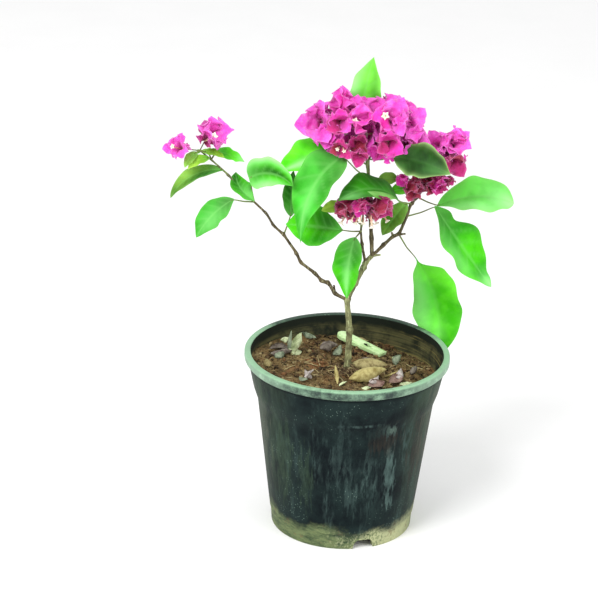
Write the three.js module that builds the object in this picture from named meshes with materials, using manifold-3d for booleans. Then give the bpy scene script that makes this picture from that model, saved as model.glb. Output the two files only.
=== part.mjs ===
// A bougainvillea bush in its round plastic nursery pot: a short leaning trunk, boughs, and sprays of
// leaves and papery magenta bracts.
// Millimetres, +Z up. The origin is on the ground on the pot's axis, in the flat disc of its underside.
// X runs to the right of the front view and Y away from the viewer. A heading is a compass angle in
// degrees, 0 along +X and 90 along +Y. A climb is an angle above the horizontal.
import * as THREE from "three";
import { mergeVertices } from "three/addons/utils/BufferGeometryUtils.js";
import Module from "manifold-3d";

const wasm = await Module();
wasm.setup();

const GAP = 0.3;
const FINEST = 0.01;
const UP = new THREE.Vector3(0, 0, 1);
const THIRD_TURN = (2 * Math.PI) / 3;
const GOLDEN_ANGLE = Math.PI * (3 - Math.sqrt(5));

// The pot: a tapered wall on a low foot band, a flared collar and a rolled lip. The floor has a flat
// disc that stands on the ground, and a raised drainage channel round it.
const POT = {
  sides: 36,
  height: 180.4,
  wall: 2.2,
  footRadius: 69.2,
  footBand: 15.5,
  footStep: 0.8,
  wallSlope: 0.128,
  collarFrom: 127,
  collarStep: 2,
  collarSlope: 0.237,
  lipFrom: 170.6,
  lipRadius: 100,
  lipRound: 1.8,
  floor: 2.4,
  discRadius: 40,
  discLean: 3.5,
  channelHeight: 11,
  ringWidth: 6.5,
  notches: { count: 3, heading: -72, halfFoot: 11, halfTop: 8.5, height: 9.5, round: 4 },
  drains: { count: 6, radius: 4.5, at: 52 },
};

// The soil: flat round the trunk's foot, higher on the left and lower on the right.
const SOIL = { top: 160, padRadius: 9, blend: 16, clear: 0.4, fallRight: 0.1, fallBack: 0.03, lump: 1.1 };

// Where the trunk leaves the soil, and how it flares there.
const FOOT = { x: 1, y: 3, flare: 1.3, flareHeight: 7 };

// Limbs are chains of internodes, each [length, heading, climb]. A limb starts at a joint of its parent.
const LIMBS = {
  trunk: {
    base: 6.6,
    tip: 4.4,
    sides: 8,
    steps: [
      [41, 50, 89],
      [32, 196, 83],
      [19, 0, 67],
      [17, 8, 65],
      [6, 30, 70],
      [9, 18, 43],
    ],
  },
  left_bough: {
    from: ["trunk", 2],
    base: 4.4,
    tip: 2.8,
    sides: 6,
    steps: [
      [14, 190, 29],
      [14, 207, 61],
      [7, 197, 17],
      [11, 188, 50],
      [19, 192, 39],
      [10, 196, 68],
      [24, 193, 56],
      [14, 191, 44],
      [15, 196, 60],
      [17, 194, 45],
    ],
  },
  inner_shoot: {
    from: ["trunk", 5],
    base: 2.8,
    tip: 2.2,
    sides: 5,
    steps: [
      [21, 231, 72],
      [15, 243, 77],
    ],
  },
  centre_bough: {
    from: ["trunk", 6],
    base: 4,
    tip: 3,
    sides: 6,
    steps: [
      [18, 140, 85],
      [23, 157, 84],
      [35, 139, 85],
    ],
  },
  right_bough: {
    from: ["trunk", 6],
    base: 3.4,
    tip: 2.6,
    sides: 6,
    steps: [
      [15, 29, 36],
      [14, 40, 30],
      [7, 34, 2],
      [19, 36, 64],
      [13, 40, 69],
      [9, 17, 42],
    ],
  },
  back_bough: {
    from: ["trunk", 6],
    base: 3.2,
    tip: 2.4,
    sides: 6,
    steps: [
      [23, 91, 20],
      [24, 95, 42],
      [26, 99, 62],
    ],
  },
};

// Leaves and bracts are thin blades: a midrib that bends evenly from one climb to the other, and an
// outline whose fullest place is set by lead and tail.
const BLADE = { thick: 1.2, rows: 5, fold: 12, lead: 0.8, tail: 1 };
const PETIOLE = { width: 1.5, sides: 4 };
const TWIG = { base: 2.6, tip: 1.6, sides: 5 };

// A head of blossom: a papery cup of three pointed bracts on a short stalk.
const HEAD = {
  bractLength: 26,
  bractWidth: 22,
  lean: [14, 66],
  waist: 0.3,
  valley: 0.54,
  shoulder: 0.64,
  stalk: 1.6,
  sunk: 1.5,
};
const DOME = { core: 0.42, perReach: 1 / 34, squash: 1 };

// The sprays. Each has twigs, leaves on their joints, single heads, and domes of heads.
const SPRAYS = {
  left_spray: {
    twigs: {
      left_twig: {
        from: ["left_bough", 10],
        steps: [
          [21, 192, 45],
          [16, 191, 52],
          [23, 187, 43],
          [14, 186, 40],
        ],
      },
    },
    leaves: [
      { on: ["left_twig", 0], petiole: [21, 198, 11], length: 51, width: 26, heading: 196, climb: [-27, -64], roll: 41, lead: 0.9 },
      { on: ["left_twig", 0], petiole: [3, 249, 37], length: 34, width: 21, heading: 145, climb: [33, 58], roll: 19, bend: -112, fold: 20 },
      { on: ["left_twig", 0], petiole: [26, 225, 76], length: 47, width: 32, heading: 343, climb: [40, -47], roll: -53, lead: 0.4 },
      { on: ["left_twig", 2], petiole: [8, 197, 45], length: 60, width: 17, heading: 191, climb: [10, -66], roll: 30, lead: 0.9, tail: 0.9 },
      { on: ["left_twig", 3], petiole: [9, 30, 55], length: 29, width: 12, heading: 23, climb: [-18, -38], roll: -40 },
      { on: ["left_twig", 3], petiole: [6, 250, 30], length: 24, width: 11, heading: 205, climb: [10, -55], roll: 30 },
      { on: ["left_twig", 3], petiole: [5, 120, 50], length: 26, width: 13, heading: 120, climb: [20, -50], roll: 0 },
      { on: ["left_twig", 4], petiole: [4, 215, -20], length: 20, width: 10, heading: 230, climb: [-10, -60], roll: 20 },
      { on: ["left_twig", 4], petiole: [4, 330, -10], length: 22, width: 10, heading: 340, climb: [15, -30], roll: -20 },
    ],
    heads: [
      { on: ["left_twig", 4], stalk: [14, 345, 64], axis: [330, 42], spin: 75, lean: [18, 72], scale: 1.1 },
      { on: ["left_twig", 4], stalk: [19, 189, 1], axis: [225, 28], spin: 80, lean: [25, 82], scale: 0.9 },
    ],
    domes: [],
  },
  crown: {
    twigs: {
      crown_stem: {
        from: ["centre_bough", 3],
        steps: [
          [20, 121, 83],
          [15, 194, 56],
          [19, 195, 36],
          [11, 192, 24],
        ],
      },
      crown_right_twig: {
        from: ["crown_stem", 1],
        steps: [
          [16, 0, 61],
          [17, 0, 58],
        ],
      },
    },
    leaves: [
      { on: ["crown_stem", 3], petiole: [14, 186, -50], length: 57, width: 36, heading: 194, climb: [-6, -36], roll: 35 },
      { on: ["crown_stem", 0], petiole: [45, 220, 42], length: 81, width: 40, heading: 222, climb: [-21, -102], roll: 27, bend: 24, lead: 0.66, tail: 1.2 },
      { on: ["crown_stem", 1], petiole: [32, 320, 17], length: 56, width: 38, heading: 336, climb: [4, -17], roll: -42, tail: 0.9 },
      { on: ["crown_stem", 2], petiole: [18, 102, 71], length: 71, width: 35, heading: 27, climb: [88, 72], roll: -60, tail: 1.1 },
      { on: ["crown_stem", 0], petiole: [15, 45, -22], length: 21, width: 13, heading: 14, climb: [38, -32], roll: -60 },
    ],
    heads: [
      { on: ["crown_stem", 4], stalk: [16, 190, 35], axis: [215, 22], spin: 30, lean: [25, 85], scale: 1.2 },
      { on: ["crown_stem", 4], stalk: [17, 10, 75], axis: [20, 84], spin: 60, lean: [8, 30], scale: 1.1 },
      { on: ["crown_right_twig", 2], stalk: [16, 250, 60], axis: [250, 60], spin: 10, lean: [14, 66], scale: 1.05 },
    ],
    domes: [
      { on: ["crown_stem", 4], count: 7, reach: 30, lowest: -30, turn: 200 },
      { on: ["crown_right_twig", 2], count: 10, reach: 37, lowest: -35, turn: 20 },
    ],
  },
  right_spray: {
    twigs: {
      right_twig: {
        from: ["right_bough", 6],
        steps: [
          [20, 347, 63],
          [20, 349, 58],
          [14, 341, 64],
        ],
      },
      low_twig: {
        from: ["right_bough", 6],
        steps: [
          [9, 301, 60],
          [9, 301, 58],
        ],
      },
    },
    leaves: [
      { on: ["right_twig", 0], petiole: [21, 354, -20], length: 77, width: 44, heading: 8, climb: [25, -24], roll: -31, lead: 1, tail: 0.7 },
      { on: ["right_twig", 1], petiole: [8, 60, 30], length: 44, width: 24, heading: 50, climb: [20, -45], roll: 10 },
      { on: ["low_twig", 1], petiole: [9, 205, 12], length: 24, width: 16, heading: 195, climb: [20, -30], roll: 30 },
      { on: ["right_twig", 2], petiole: [8, 110, 20], length: 40, width: 22, heading: 100, climb: [10, -50], roll: 0 },
    ],
    heads: [{ on: ["right_twig", 3], stalk: [12, 5, 48], axis: [330, 50], spin: 20, lean: [14, 66], scale: 0.95 }],
    domes: [
      { on: ["right_twig", 3], count: 7, reach: 25, lowest: -45, turn: 90 },
      { on: ["low_twig", 2], count: 6, reach: 26, lowest: -30, turn: 20, squash: 0.5 },
    ],
  },
  middle_spray: {
    twigs: {
      middle_stem: {
        from: ["inner_shoot", 2],
        steps: [
          [9, 272, 62],
          [16, 282, 67],
        ],
      },
    },
    leaves: [
      { on: ["middle_stem", 0], petiole: [18, 192, 9], length: 54, width: 37, heading: 185, climb: [10, 1], roll: 60, bend: -6, lead: 0.9, tail: 0.8 },
      { on: ["middle_stem", 0], petiole: [9, 215, -40], length: 61, width: 34, heading: 241, climb: [-56, -103], roll: -10, lead: 0.7, tail: 1.1 },
      { on: ["middle_stem", 1], petiole: [22, 187, -16], length: 18, width: 10, heading: 185, climb: [0, -20], roll: 50 },
    ],
    heads: [],
    domes: [{ on: ["middle_stem", 2], count: 9, reach: 28, lowest: -60, turn: 150, squash: 0.6 }],
  },
  back_spray: {
    twigs: {
      back_twig: {
        from: ["back_bough", 3],
        steps: [
          [27, 150, 82],
          [27, 219, 77],
          [14, 110, 80],
        ],
      },
    },
    leaves: [
      { on: ["back_twig", 1], petiole: [36, 176, 36], length: 70, width: 36, heading: 128, climb: [-49, -89], roll: 0 },
      { on: ["back_twig", 2], petiole: [20, 350, 20], length: 54, width: 32, heading: 30, climb: [-10, -50], roll: 0 },
      { on: ["back_twig", 2], petiole: [8, 170, 0], length: 60, width: 32, heading: 172, climb: [0, -40], roll: -10 },
      { on: ["back_twig", 2], petiole: [10, 75, -50], length: 57, width: 30, heading: 73, climb: [5, -45], roll: 0 },
      { on: ["back_twig", 2], petiole: [17, 180, 45], length: 49, width: 28, heading: 134, climb: [-4, -44], roll: 0 },
      { on: ["back_twig", 2], petiole: [22, 0, 23], length: 43, width: 25, heading: 43, climb: [6, -34], roll: 0 },
      { on: ["back_twig", 0], petiole: [8, 60, 30], length: 60, width: 32, heading: 95, climb: [0, -44], roll: 0 },
    ],
    heads: [],
    domes: [{ on: ["back_twig", 3], count: 4, reach: 24, lowest: -10, turn: 60 }],
  },
};

// Leaves that grow straight from a bough, each on its own petiole.
const SIDE_LEAVES = {
  leaf_left_inner: [
    { on: ["left_bough", 7], petiole: [20, 62, 51], length: 44, width: 18, heading: 75, climb: [87, 77], roll: 10 },
  ],
  leaves_centre: [
    { on: ["right_bough", 5], petiole: [25, 238, 22], length: 71, width: 35, heading: 218, climb: [53, -43], roll: 22, lead: 0.9, tail: 0.9 },
    { on: ["right_bough", 5], petiole: [8, 234, 17], length: 39, width: 22, heading: 213, climb: [-38, -55], roll: 25, tail: 0.9 },
  ],
  leaf_right_hanging: [
    { on: ["right_bough", 4], petiole: [29, 6, 20], length: 93, width: 45, heading: 349, climb: [-53, -56], roll: -34, lead: 1 },
  ],
  leaf_right_low: [
    { on: ["right_bough", 3], petiole: [50, 62, -43], length: 121, width: 50, heading: 31, climb: [-51, -94], roll: -130, lead: 1.2 },
  ],
};

// Litter that lies on the soil: two dry leaves rolled up with their open side down, and a pale chip of cane.
const DRY_LEAVES = {
  dry_leaf_back: { x: 8, y: 3, length: 40, width: 19, heading: -2, curl: 52, arch: 40 },
  dry_leaf_front: { x: 4, y: -29, length: 44, width: 20, heading: 32, curl: 52, arch: 40 },
};
const CHIP = { x: 14, y: 64, length: 52, width: 15, thick: 3.4, heading: -30, tilt: 11, hole: [9, 4.5] };

const leafGreen = new THREE.MeshStandardMaterial({ color: 0x49b62c, roughness: 0.45, metalness: 0 });
const bractMagenta = new THREE.MeshStandardMaterial({ color: 0xe030c8, roughness: 0.6, metalness: 0 });
const bark = new THREE.MeshStandardMaterial({ color: 0x6d6247, roughness: 0.85, metalness: 0 });
const potPlastic = new THREE.MeshStandardMaterial({ color: 0x24302e, roughness: 0.6, metalness: 0 });
const soilBrown = new THREE.MeshStandardMaterial({ color: 0x6f5138, roughness: 1, metalness: 0 });
const dryTan = new THREE.MeshStandardMaterial({ color: 0xb59a62, roughness: 0.9, metalness: 0 });
const palePith = new THREE.MeshStandardMaterial({ color: 0xc4d3a4, roughness: 0.85, metalness: 0 });

const radians = (degrees) => (degrees * Math.PI) / 180;

// The unit direction of a heading and climb.
function direction(heading, climb) {
  const flat = Math.cos(radians(climb));
  return new THREE.Vector3(
    flat * Math.cos(radians(heading)),
    flat * Math.sin(radians(heading)),
    Math.sin(radians(climb)),
  );
}

// A repeatable number from 0 to 1 for a whole number.
function chance(index) {
  const value = Math.sin(index * 127.1 + 311.7) * 43758.5453;
  return value - Math.floor(value);
}

// A closed surface through rings of points. A ring of one point closes that end to an apex, and a full
// ring at an end gets a flat cap. A side that crosses says where its two triangles meet on the other
// diagonal, so that the two faces of a thin sheet bend alike and never cut through each other.
function loft(rings, crosses = () => false) {
  const points = [];
  const faces = [];
  const starts = rings.map((ring) => points.push(...ring) - ring.length);
  for (let r = 0; r + 1 < rings.length; r++) {
    const [a, b] = [starts[r], starts[r + 1]];
    const [lower, upper] = [rings[r].length, rings[r + 1].length];
    const around = Math.max(lower, upper);
    for (let i = 0; i < around; i++) {
      const j = (i + 1) % around;
      if (lower > 1 && upper > 1 && crosses(r, i)) {
        faces.push(a + i, a + j, b + j, a + i, b + j, b + i);
        continue;
      }
      if (lower > 1) faces.push(a + i, a + j, b + (i % upper));
      if (upper > 1) faces.push(a + (j % lower), b + j, b + i);
    }
  }
  const last = rings.length - 1;
  for (let i = 1; i + 1 < rings[0].length; i++) faces.push(starts[0], starts[0] + i + 1, starts[0] + i);
  for (let i = 1; i + 1 < rings[last].length; i++) {
    faces.push(starts[last], starts[last] + i, starts[last] + i + 1);
  }
  const geometry = new THREE.BufferGeometry().setFromPoints(points);
  geometry.setIndex(faces);
  return geometry;
}

// The manifold solid of a closed geometry, with its faces turned outwards.
function solidOf(geometry) {
  const bare = geometry.clone();
  for (const name of Object.keys(bare.attributes)) {
    if (name !== "position") bare.deleteAttribute(name);
  }
  const merged = mergeVertices(bare, 1e-4);
  const corners = merged.index.array;
  const kept = [];
  for (let i = 0; i < corners.length; i += 3) {
    const [a, b, c] = [corners[i], corners[i + 1], corners[i + 2]];
    if (a !== b && b !== c && a !== c) kept.push(a, b, c);
  }
  const vertProperties = new Float32Array(merged.attributes.position.array);
  const build = (triangles) => {
    const triVerts = new Uint32Array(triangles);
    return new wasm.Manifold(new wasm.Mesh({ numProp: 3, vertProperties, triVerts }));
  };
  const made = build(kept);
  return made.volume() > 0 ? made : build(kept.reverse());
}

// The largest body of a solid: loose scraps and sliver faces that a cut leaves are dropped.
function largestBody(solid) {
  const bodies = solid.simplify(FINEST).decompose();
  return bodies.reduce((best, body) => (body.volume() > best.volume() ? body : best));
}

// A named mesh of a solid.
function meshOf(name, solid, material) {
  const data = solid.getMesh();
  const geometry = new THREE.BufferGeometry();
  geometry.setAttribute("position", new THREE.BufferAttribute(data.vertProperties, 3));
  geometry.setIndex(new THREE.BufferAttribute(data.triVerts, 1));
  const flat = geometry.toNonIndexed();
  flat.computeVertexNormals();
  const mesh = new THREE.Mesh(flat, material);
  mesh.name = name;
  return mesh;
}

// A tapering tube through points, with a radius at each, closed by flat ends.
function tube(points, radii, sides) {
  const rings = [];
  const across = new THREE.Vector3();
  for (let i = 0; i < points.length; i++) {
    const along = points[Math.min(i + 1, points.length - 1)].clone().sub(points[Math.max(i - 1, 0)]).normalize();
    if (i === 0) across.crossVectors(along, Math.abs(along.z) > 0.9 ? new THREE.Vector3(0, 1, 0) : UP);
    across.addScaledVector(along, -across.dot(along)).normalize();
    const other = new THREE.Vector3().crossVectors(along, across);
    rings.push(
      Array.from({ length: sides }, (_, k) => {
        const angle = (2 * Math.PI * k) / sides;
        return points[i]
          .clone()
          .addScaledVector(across, radii[i] * Math.cos(angle))
          .addScaledVector(other, radii[i] * Math.sin(angle));
      }),
    );
  }
  return solidOf(loft(rings));
}

// The joints of every limb and twig, by name.
const joints = {};

function growJoints(name, limb) {
  const start = limb.from ? joints[limb.from[0]][limb.from[1]] : new THREE.Vector3(FOOT.x, FOOT.y, SOIL.top + GAP);
  joints[name] = [start.clone()];
  for (const [length, heading, climb] of limb.steps) {
    joints[name].push(joints[name].at(-1).clone().addScaledVector(direction(heading, climb), length));
  }
}

// The same line of points, with its last one moved on along the limb.
function lengthened(points, by) {
  const end = points.at(-1).clone().sub(points.at(-2)).setLength(by).add(points.at(-1));
  return [...points.slice(0, -1), end];
}

// The solid of a limb, or of the room that its neighbours leave round it and beyond its tip.
function limbSolid(name, limb, room = 0) {
  const points = joints[name];
  const radii = points.map((_, i) => {
    const share = i / (points.length - 1);
    return (limb.base + (limb.tip - limb.base) * share) / 2 + room;
  });
  return tube(lengthened(points, room), radii, limb.sides);
}

// The trunk: its flare is a short cone at the foot, cut flat at the soil.
function trunkSolid(room = 0) {
  const points = joints.trunk.map((point) => point.clone());
  const radii = points.map((_, i) => {
    const share = i / (points.length - 1);
    return (LIMBS.trunk.base + (LIMBS.trunk.tip - LIMBS.trunk.base) * share) / 2 + room;
  });
  const top = points[0].clone();
  top.z += FOOT.flareHeight;
  points.splice(1, 0, top);
  radii.splice(1, 0, radii[0]);
  radii[0] += FOOT.flare;
  const stem = tube(lengthened(points, room), radii, LIMBS.trunk.sides);
  const below = new THREE.BoxGeometry(40, 40, 20).translate(FOOT.x, FOOT.y, SOIL.top + GAP - 10);
  return room ? stem : stem.subtract(solidOf(below));
}

// How full a blade is at a share of its length.
function fullness(share, lead, tail) {
  const peak = lead / (lead + tail);
  const most = peak ** lead * (1 - peak) ** tail;
  return (share ** lead * (1 - share) ** tail) / most;
}

// A thin blade. Its midrib starts at a point and leans from axis towards out, from the first lean to the
// second in degrees; bend swings it sideways, roll turns it round its midrib, and fold lifts its halves.
function blade({ at, axis, out, lean, length, width, roll = 0, bend = 0, rows = BLADE.rows, ...shape }) {
  const { fold = BLADE.fold, lead = BLADE.lead, tail = BLADE.tail, thick = BLADE.thick } = shape;
  const fineSteps = 24;
  const centre = at.clone();
  const rings = [[centre.clone()]];
  for (let i = 1; i <= rows + 1; i++) {
    const frame = (share) => {
      const swung = out.clone().applyAxisAngle(axis, radians(bend * (share - 0.5)));
      const angle = radians(lean[0] + (lean[1] - lean[0]) * share);
      const along = axis.clone().multiplyScalar(Math.cos(angle)).addScaledVector(swung, Math.sin(angle));
      const face = axis.clone().multiplyScalar(Math.sin(angle)).addScaledVector(swung, -Math.cos(angle));
      const side = new THREE.Vector3().crossVectors(axis, swung);
      return { along, face, side };
    };
    const from = (i - 1) / (rows + 1);
    const to = i / (rows + 1);
    const pieces = fineSteps / (rows + 1);
    for (let k = 0; k < pieces; k++) {
      const share = from + ((to - from) * (k + 0.5)) / pieces;
      centre.addScaledVector(frame(share).along, (length * (to - from)) / pieces);
    }
    if (i > rows) {
      rings.push([centre.clone()]);
      continue;
    }
    const { face, side } = frame(to);
    const turn = radians(roll);
    const normal = face.clone().multiplyScalar(Math.cos(turn)).addScaledVector(side, Math.sin(turn));
    const across = side.clone().multiplyScalar(Math.cos(turn)).addScaledVector(face, -Math.sin(turn));
    const half = (width / 2) * fullness(to, lead, tail);
    const lift = half * Math.sin(radians(fold));
    const reach = half * Math.cos(radians(fold));
    const point = (sideways, upwards) =>
      centre.clone().addScaledVector(across, sideways).addScaledVector(normal, upwards);
    rings.push([point(reach, lift), point(0, thick / 2), point(-reach, lift), point(0, -thick / 2)]);
  }
  return solidOf(loft(rings, (_, side) => side % 2 === 1));
}

// A leaf on its petiole. The blade starts a little back inside the petiole's end.
function leafPieces(leaf) {
  const start = joints[leaf.on[0]][leaf.on[1]];
  const [length, heading, climb] = leaf.petiole;
  const end = start.clone().addScaledVector(direction(heading, climb), length);
  const { on, petiole, heading: bladeHeading, climb: bladeClimb, ...shape } = leaf;
  const out = direction(bladeHeading, 0);
  const lean = bladeClimb.map((angle) => 90 - angle);
  const first = UP.clone().multiplyScalar(Math.cos(radians(lean[0]))).addScaledVector(out, Math.sin(radians(lean[0])));
  const sunk = end.clone().addScaledVector(first, -BLADE.thick);
  const radius = PETIOLE.width / 2;
  return [
    tube([start, end.clone().addScaledVector(first, BLADE.thick)], [radius, radius], PETIOLE.sides),
    blade({ at: sunk, axis: UP, out, lean, ...shape, length: leaf.length + BLADE.thick }),
  ];
}

// A head of blossom on its stalk. The cup's rim runs from bract tip to shoulder to the valley between two
// bracts; the waist is the ring where the cup has its full thickness.
function headPieces({ start, base, axis, spin, lean = HEAD.lean, scale = 1 }) {
  const level = Math.abs(axis.z) > 0.9 ? new THREE.Vector3(1, 0, 0) : UP;
  const first = new THREE.Vector3().crossVectors(axis, level).normalize();
  const root = base.clone().addScaledVector(axis, -HEAD.sunk);
  const length = HEAD.bractLength * scale;
  const on = (out, share, inwards = 0) => {
    const fineSteps = 8;
    const point = root.clone();
    for (let k = 0; k < fineSteps; k++) {
      const angle = radians(lean[0] + ((lean[1] - lean[0]) * share * (k + 0.5)) / fineSteps);
      const stride = (length * share) / fineSteps;
      point.addScaledVector(axis, stride * Math.cos(angle)).addScaledVector(out, stride * Math.sin(angle));
    }
    return point.addScaledVector(out, -inwards).addScaledVector(axis, inwards / 2);
  };
  const outs = Array.from({ length: 12 }, (_, k) =>
    first.clone().applyAxisAngle(axis, radians(spin) + (k * THIRD_TURN) / 4),
  );
  const rim = outs.map((out, k) => {
    const place = k % 4;
    if (place === 0) return on(out, 1);
    if (place === 2) return on(out, HEAD.valley);
    const middle = outs[(place === 1 ? k - 1 : k + 1) % 12];
    const side = new THREE.Vector3().crossVectors(axis, middle);
    const half = (HEAD.bractWidth / 2) * scale * (place === 1 ? 1 : -1);
    return on(middle, HEAD.shoulder).addScaledVector(side, half);
  });
  const rings = [
    [root],
    outs.map((out) => on(out, HEAD.waist)),
    rim,
    outs.map((out) => on(out, HEAD.waist, BLADE.thick)),
    [root.clone().addScaledVector(axis, 2 * BLADE.thick)],
  ];
  const cup = solidOf(loft(rings, (ring) => ring === 2));
  const stalk = HEAD.stalk / 2;
  return [tube([start, base], [stalk, stalk], 3), cup];
}

// The heads of a dome: spaced by the golden angle from the top down to its lowest climb, each pointing
// outwards from the dome's middle.
function domeHeads(dome) {
  const { squash = DOME.squash } = dome;
  const middle = joints[dome.on[0]][dome.on[1]];
  const bottom = Math.sin(radians(dome.lowest));
  return Array.from({ length: dome.count }, (_, i) => {
    const height = 1 - ((i + 0.5) / dome.count) * (1 - bottom);
    const around = radians(dome.turn) + i * GOLDEN_ANGLE;
    const flat = Math.sqrt(1 - height * height);
    const outward = new THREE.Vector3(flat * Math.cos(around), flat * Math.sin(around), height * squash);
    return {
      start: middle,
      base: middle.clone().addScaledVector(outward, dome.reach * DOME.core),
      axis: outward.clone().normalize(),
      spin: 120 * chance(i + dome.turn),
      scale: dome.reach * DOME.perReach * (0.94 + 0.12 * chance(i + dome.turn + 50)),
    };
  });
}

// Every solid so far: a piece of a spray that would touch one of another node is left out.
const placed = [];

function isClear(piece) {
  return placed.every((other) => piece.intersect(other).isEmpty());
}

function sprayPieces(spray) {
  const twigs = Object.entries(spray.twigs).map(([name, twig]) => limbSolid(name, { ...TWIG, ...twig }));
  const leaves = spray.leaves.map(leafPieces);
  const single = spray.heads.map((head) => {
    const start = joints[head.on[0]][head.on[1]];
    const [length, heading, climb] = head.stalk;
    const base = start.clone().addScaledVector(direction(heading, climb), length);
    return headPieces({ ...head, start, base, axis: direction(...head.axis) });
  });
  const domed = spray.domes.flatMap(domeHeads).map(headPieces);
  const green = leaves.flat();
  const blossom = [...single, ...domed].flat().filter(isClear);
  return [...twigs, ...green, ...blossom];
}

// A point of the pot's outer wall at a height, as its radius.
function wallRadius(height) {
  if (height < POT.collarFrom) return POT.footRadius + POT.wallSlope * height;
  const atCollar = POT.footRadius + POT.wallSlope * POT.collarFrom;
  return atCollar + POT.footStep + POT.collarSlope * (height - POT.collarFrom - POT.collarStep);
}

function potSolid() {
  const { footRadius, footBand, footStep, collarFrom, collarStep, lipFrom, lipRadius, lipRound } = POT;
  const { height, wall, floor, discRadius, discLean, channelHeight, ringWidth } = POT;
  const collarBase = collarFrom + collarStep;
  const inside = (level) => wallRadius(level) - wall;
  const profile = [
    [0, 0],
    [discRadius, 0],
    [discRadius + discLean, channelHeight],
    [footRadius - ringWidth - 1, channelHeight],
    [footRadius - ringWidth, 0],
    [footRadius, 0],
    [wallRadius(footBand) - footStep, footBand],
    [wallRadius(footBand + footStep), footBand + footStep],
    [wallRadius(collarFrom - 0.01), collarFrom],
    [wallRadius(collarBase), collarBase],
    [wallRadius(lipFrom), lipFrom],
    [lipRadius - lipRound / 2, lipFrom],
    [lipRadius, lipFrom + lipRound / 2],
    [lipRadius, height - lipRound],
    [lipRadius - lipRound, height],
    [inside(lipFrom) + lipRound, height],
    [inside(lipFrom), height - lipRound],
    [inside(lipFrom), lipFrom],
    [inside(collarBase), collarBase],
    [inside(collarFrom - 0.01), collarFrom],
    [inside(channelHeight + floor), channelHeight + floor],
    [discRadius + discLean - wall, channelHeight + floor],
    [discRadius - wall, floor],
    [0, floor],
  ];
  const shell = new THREE.LatheGeometry(
    profile.map(([radius, level]) => new THREE.Vector2(radius, level)),
    POT.sides,
  ).rotateX(Math.PI / 2);
  let pot = solidOf(shell);
  for (const cutter of [...notchCutters(), ...drainCutters()]) pot = pot.subtract(cutter);
  return pot;
}

// The arched notches through the foot ring.
function notchCutters() {
  const { count, heading, halfFoot, halfTop, height, round } = POT.notches;
  const arch = new THREE.Shape();
  arch.moveTo(-halfFoot, -1);
  arch.lineTo(-halfTop, height - round);
  arch.quadraticCurveTo(-halfTop, height, round - halfTop, height);
  arch.lineTo(halfTop - round, height);
  arch.quadraticCurveTo(halfTop, height, halfTop, height - round);
  arch.lineTo(halfFoot, -1);
  arch.closePath();
  const depth = 2 * POT.ringWidth;
  return Array.from({ length: count }, (_, k) =>
    solidOf(
      new THREE.ExtrudeGeometry(arch, { depth, bevelEnabled: false, curveSegments: 4 })
        .rotateX(Math.PI / 2)
        .translate(0, POT.footRadius + depth / 2 - 2, 0)
        .rotateZ(radians(heading - 90) + (k * 2 * Math.PI) / count),
    ),
  );
}

// The round drain holes through the raised channel.
function drainCutters() {
  const { count, radius, at } = POT.drains;
  return Array.from({ length: count }, (_, k) =>
    solidOf(
      new THREE.CylinderGeometry(radius, radius, 8, 12)
        .rotateX(Math.PI / 2)
        .translate(at, 0, POT.channelHeight + POT.floor / 2)
        .rotateZ((2 * Math.PI * (k + 0.5)) / count),
    ),
  );
}

// The height of the soil at a place.
function soilTop(x, y) {
  const away = Math.hypot(x, y) - SOIL.padRadius;
  const share = THREE.MathUtils.smoothstep(away, 0, SOIL.blend);
  const slope = -SOIL.fallRight * x - SOIL.fallBack * y;
  const lumps = SOIL.lump * (Math.sin(0.11 * x + 1.3) * Math.cos(0.13 * y) + Math.sin(0.05 * x - 0.09 * y));
  return SOIL.top + share * (slope + lumps);
}

function soilSolid() {
  const { floor, wall, discRadius, discLean, channelHeight, collarFrom, collarStep, sides } = POT;
  const inside = (level) => wallRadius(level) - wall - SOIL.clear;
  const bottom = channelHeight + floor + SOIL.clear;
  const ring = (radiusAt, levelAt) =>
    Array.from({ length: sides }, (_, k) => {
      const angle = (2 * Math.PI * k) / sides;
      const radius = radiusAt(angle);
      const [x, y] = [radius * Math.cos(angle), radius * Math.sin(angle)];
      return new THREE.Vector3(x, y, levelAt(x, y));
    });
  const edgeRadius = (angle) => {
    let radius = inside(SOIL.top);
    for (let i = 0; i < 4; i++) radius = inside(soilTop(radius * Math.cos(angle), radius * Math.sin(angle)));
    return radius;
  };
  const level = (radius, height) => ring(() => radius, () => height);
  const shares = [1, 0.72, 0.46, 0.26];
  const rings = [
    level(discRadius - wall - SOIL.clear, floor + SOIL.clear),
    level(discRadius + discLean - wall - SOIL.clear, bottom),
    level(inside(bottom), bottom),
    level(inside(collarFrom - 1), collarFrom - 1),
    level(inside(collarFrom + collarStep), collarFrom + collarStep),
    ...shares.map((share) => ring((angle) => share * edgeRadius(angle), soilTop)),
    level(SOIL.padRadius, SOIL.top),
  ];
  return solidOf(loft(rings));
}

// Lowers a piece of litter until it lies just clear of the soil.
function layOnSoil(mesh, soil) {
  const down = UP.clone().negate();
  const above = new THREE.Vector3();
  const position = mesh.geometry.attributes.position;
  mesh.updateMatrixWorld(true);
  let least = Infinity;
  for (let i = 0; i < position.count; i++) {
    above.fromBufferAttribute(position, i).applyMatrix4(mesh.matrixWorld);
    const height = above.z;
    above.z = POT.height;
    const [hit] = new THREE.Raycaster(above.clone(), down).intersectObject(soil);
    least = Math.min(least, height - hit.point.z);
  }
  mesh.position.z -= least - GAP;
  return mesh;
}

// A dry leaf rolled into a pod that arches from tip to tip, its open side down.
function dryLeafMesh(name, { x, y, length, width, heading, curl, arch }) {
  const solid = blade({
    at: new THREE.Vector3(0, 0, 0),
    axis: UP.clone(),
    out: direction(heading, 0),
    lean: [90 - arch, 90 + arch],
    length,
    width,
    fold: -curl,
    thick: 1.6,
  });
  const mesh = meshOf(name, solid, dryTan);
  mesh.position.set(x, y, POT.height);
  return mesh;
}

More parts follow.
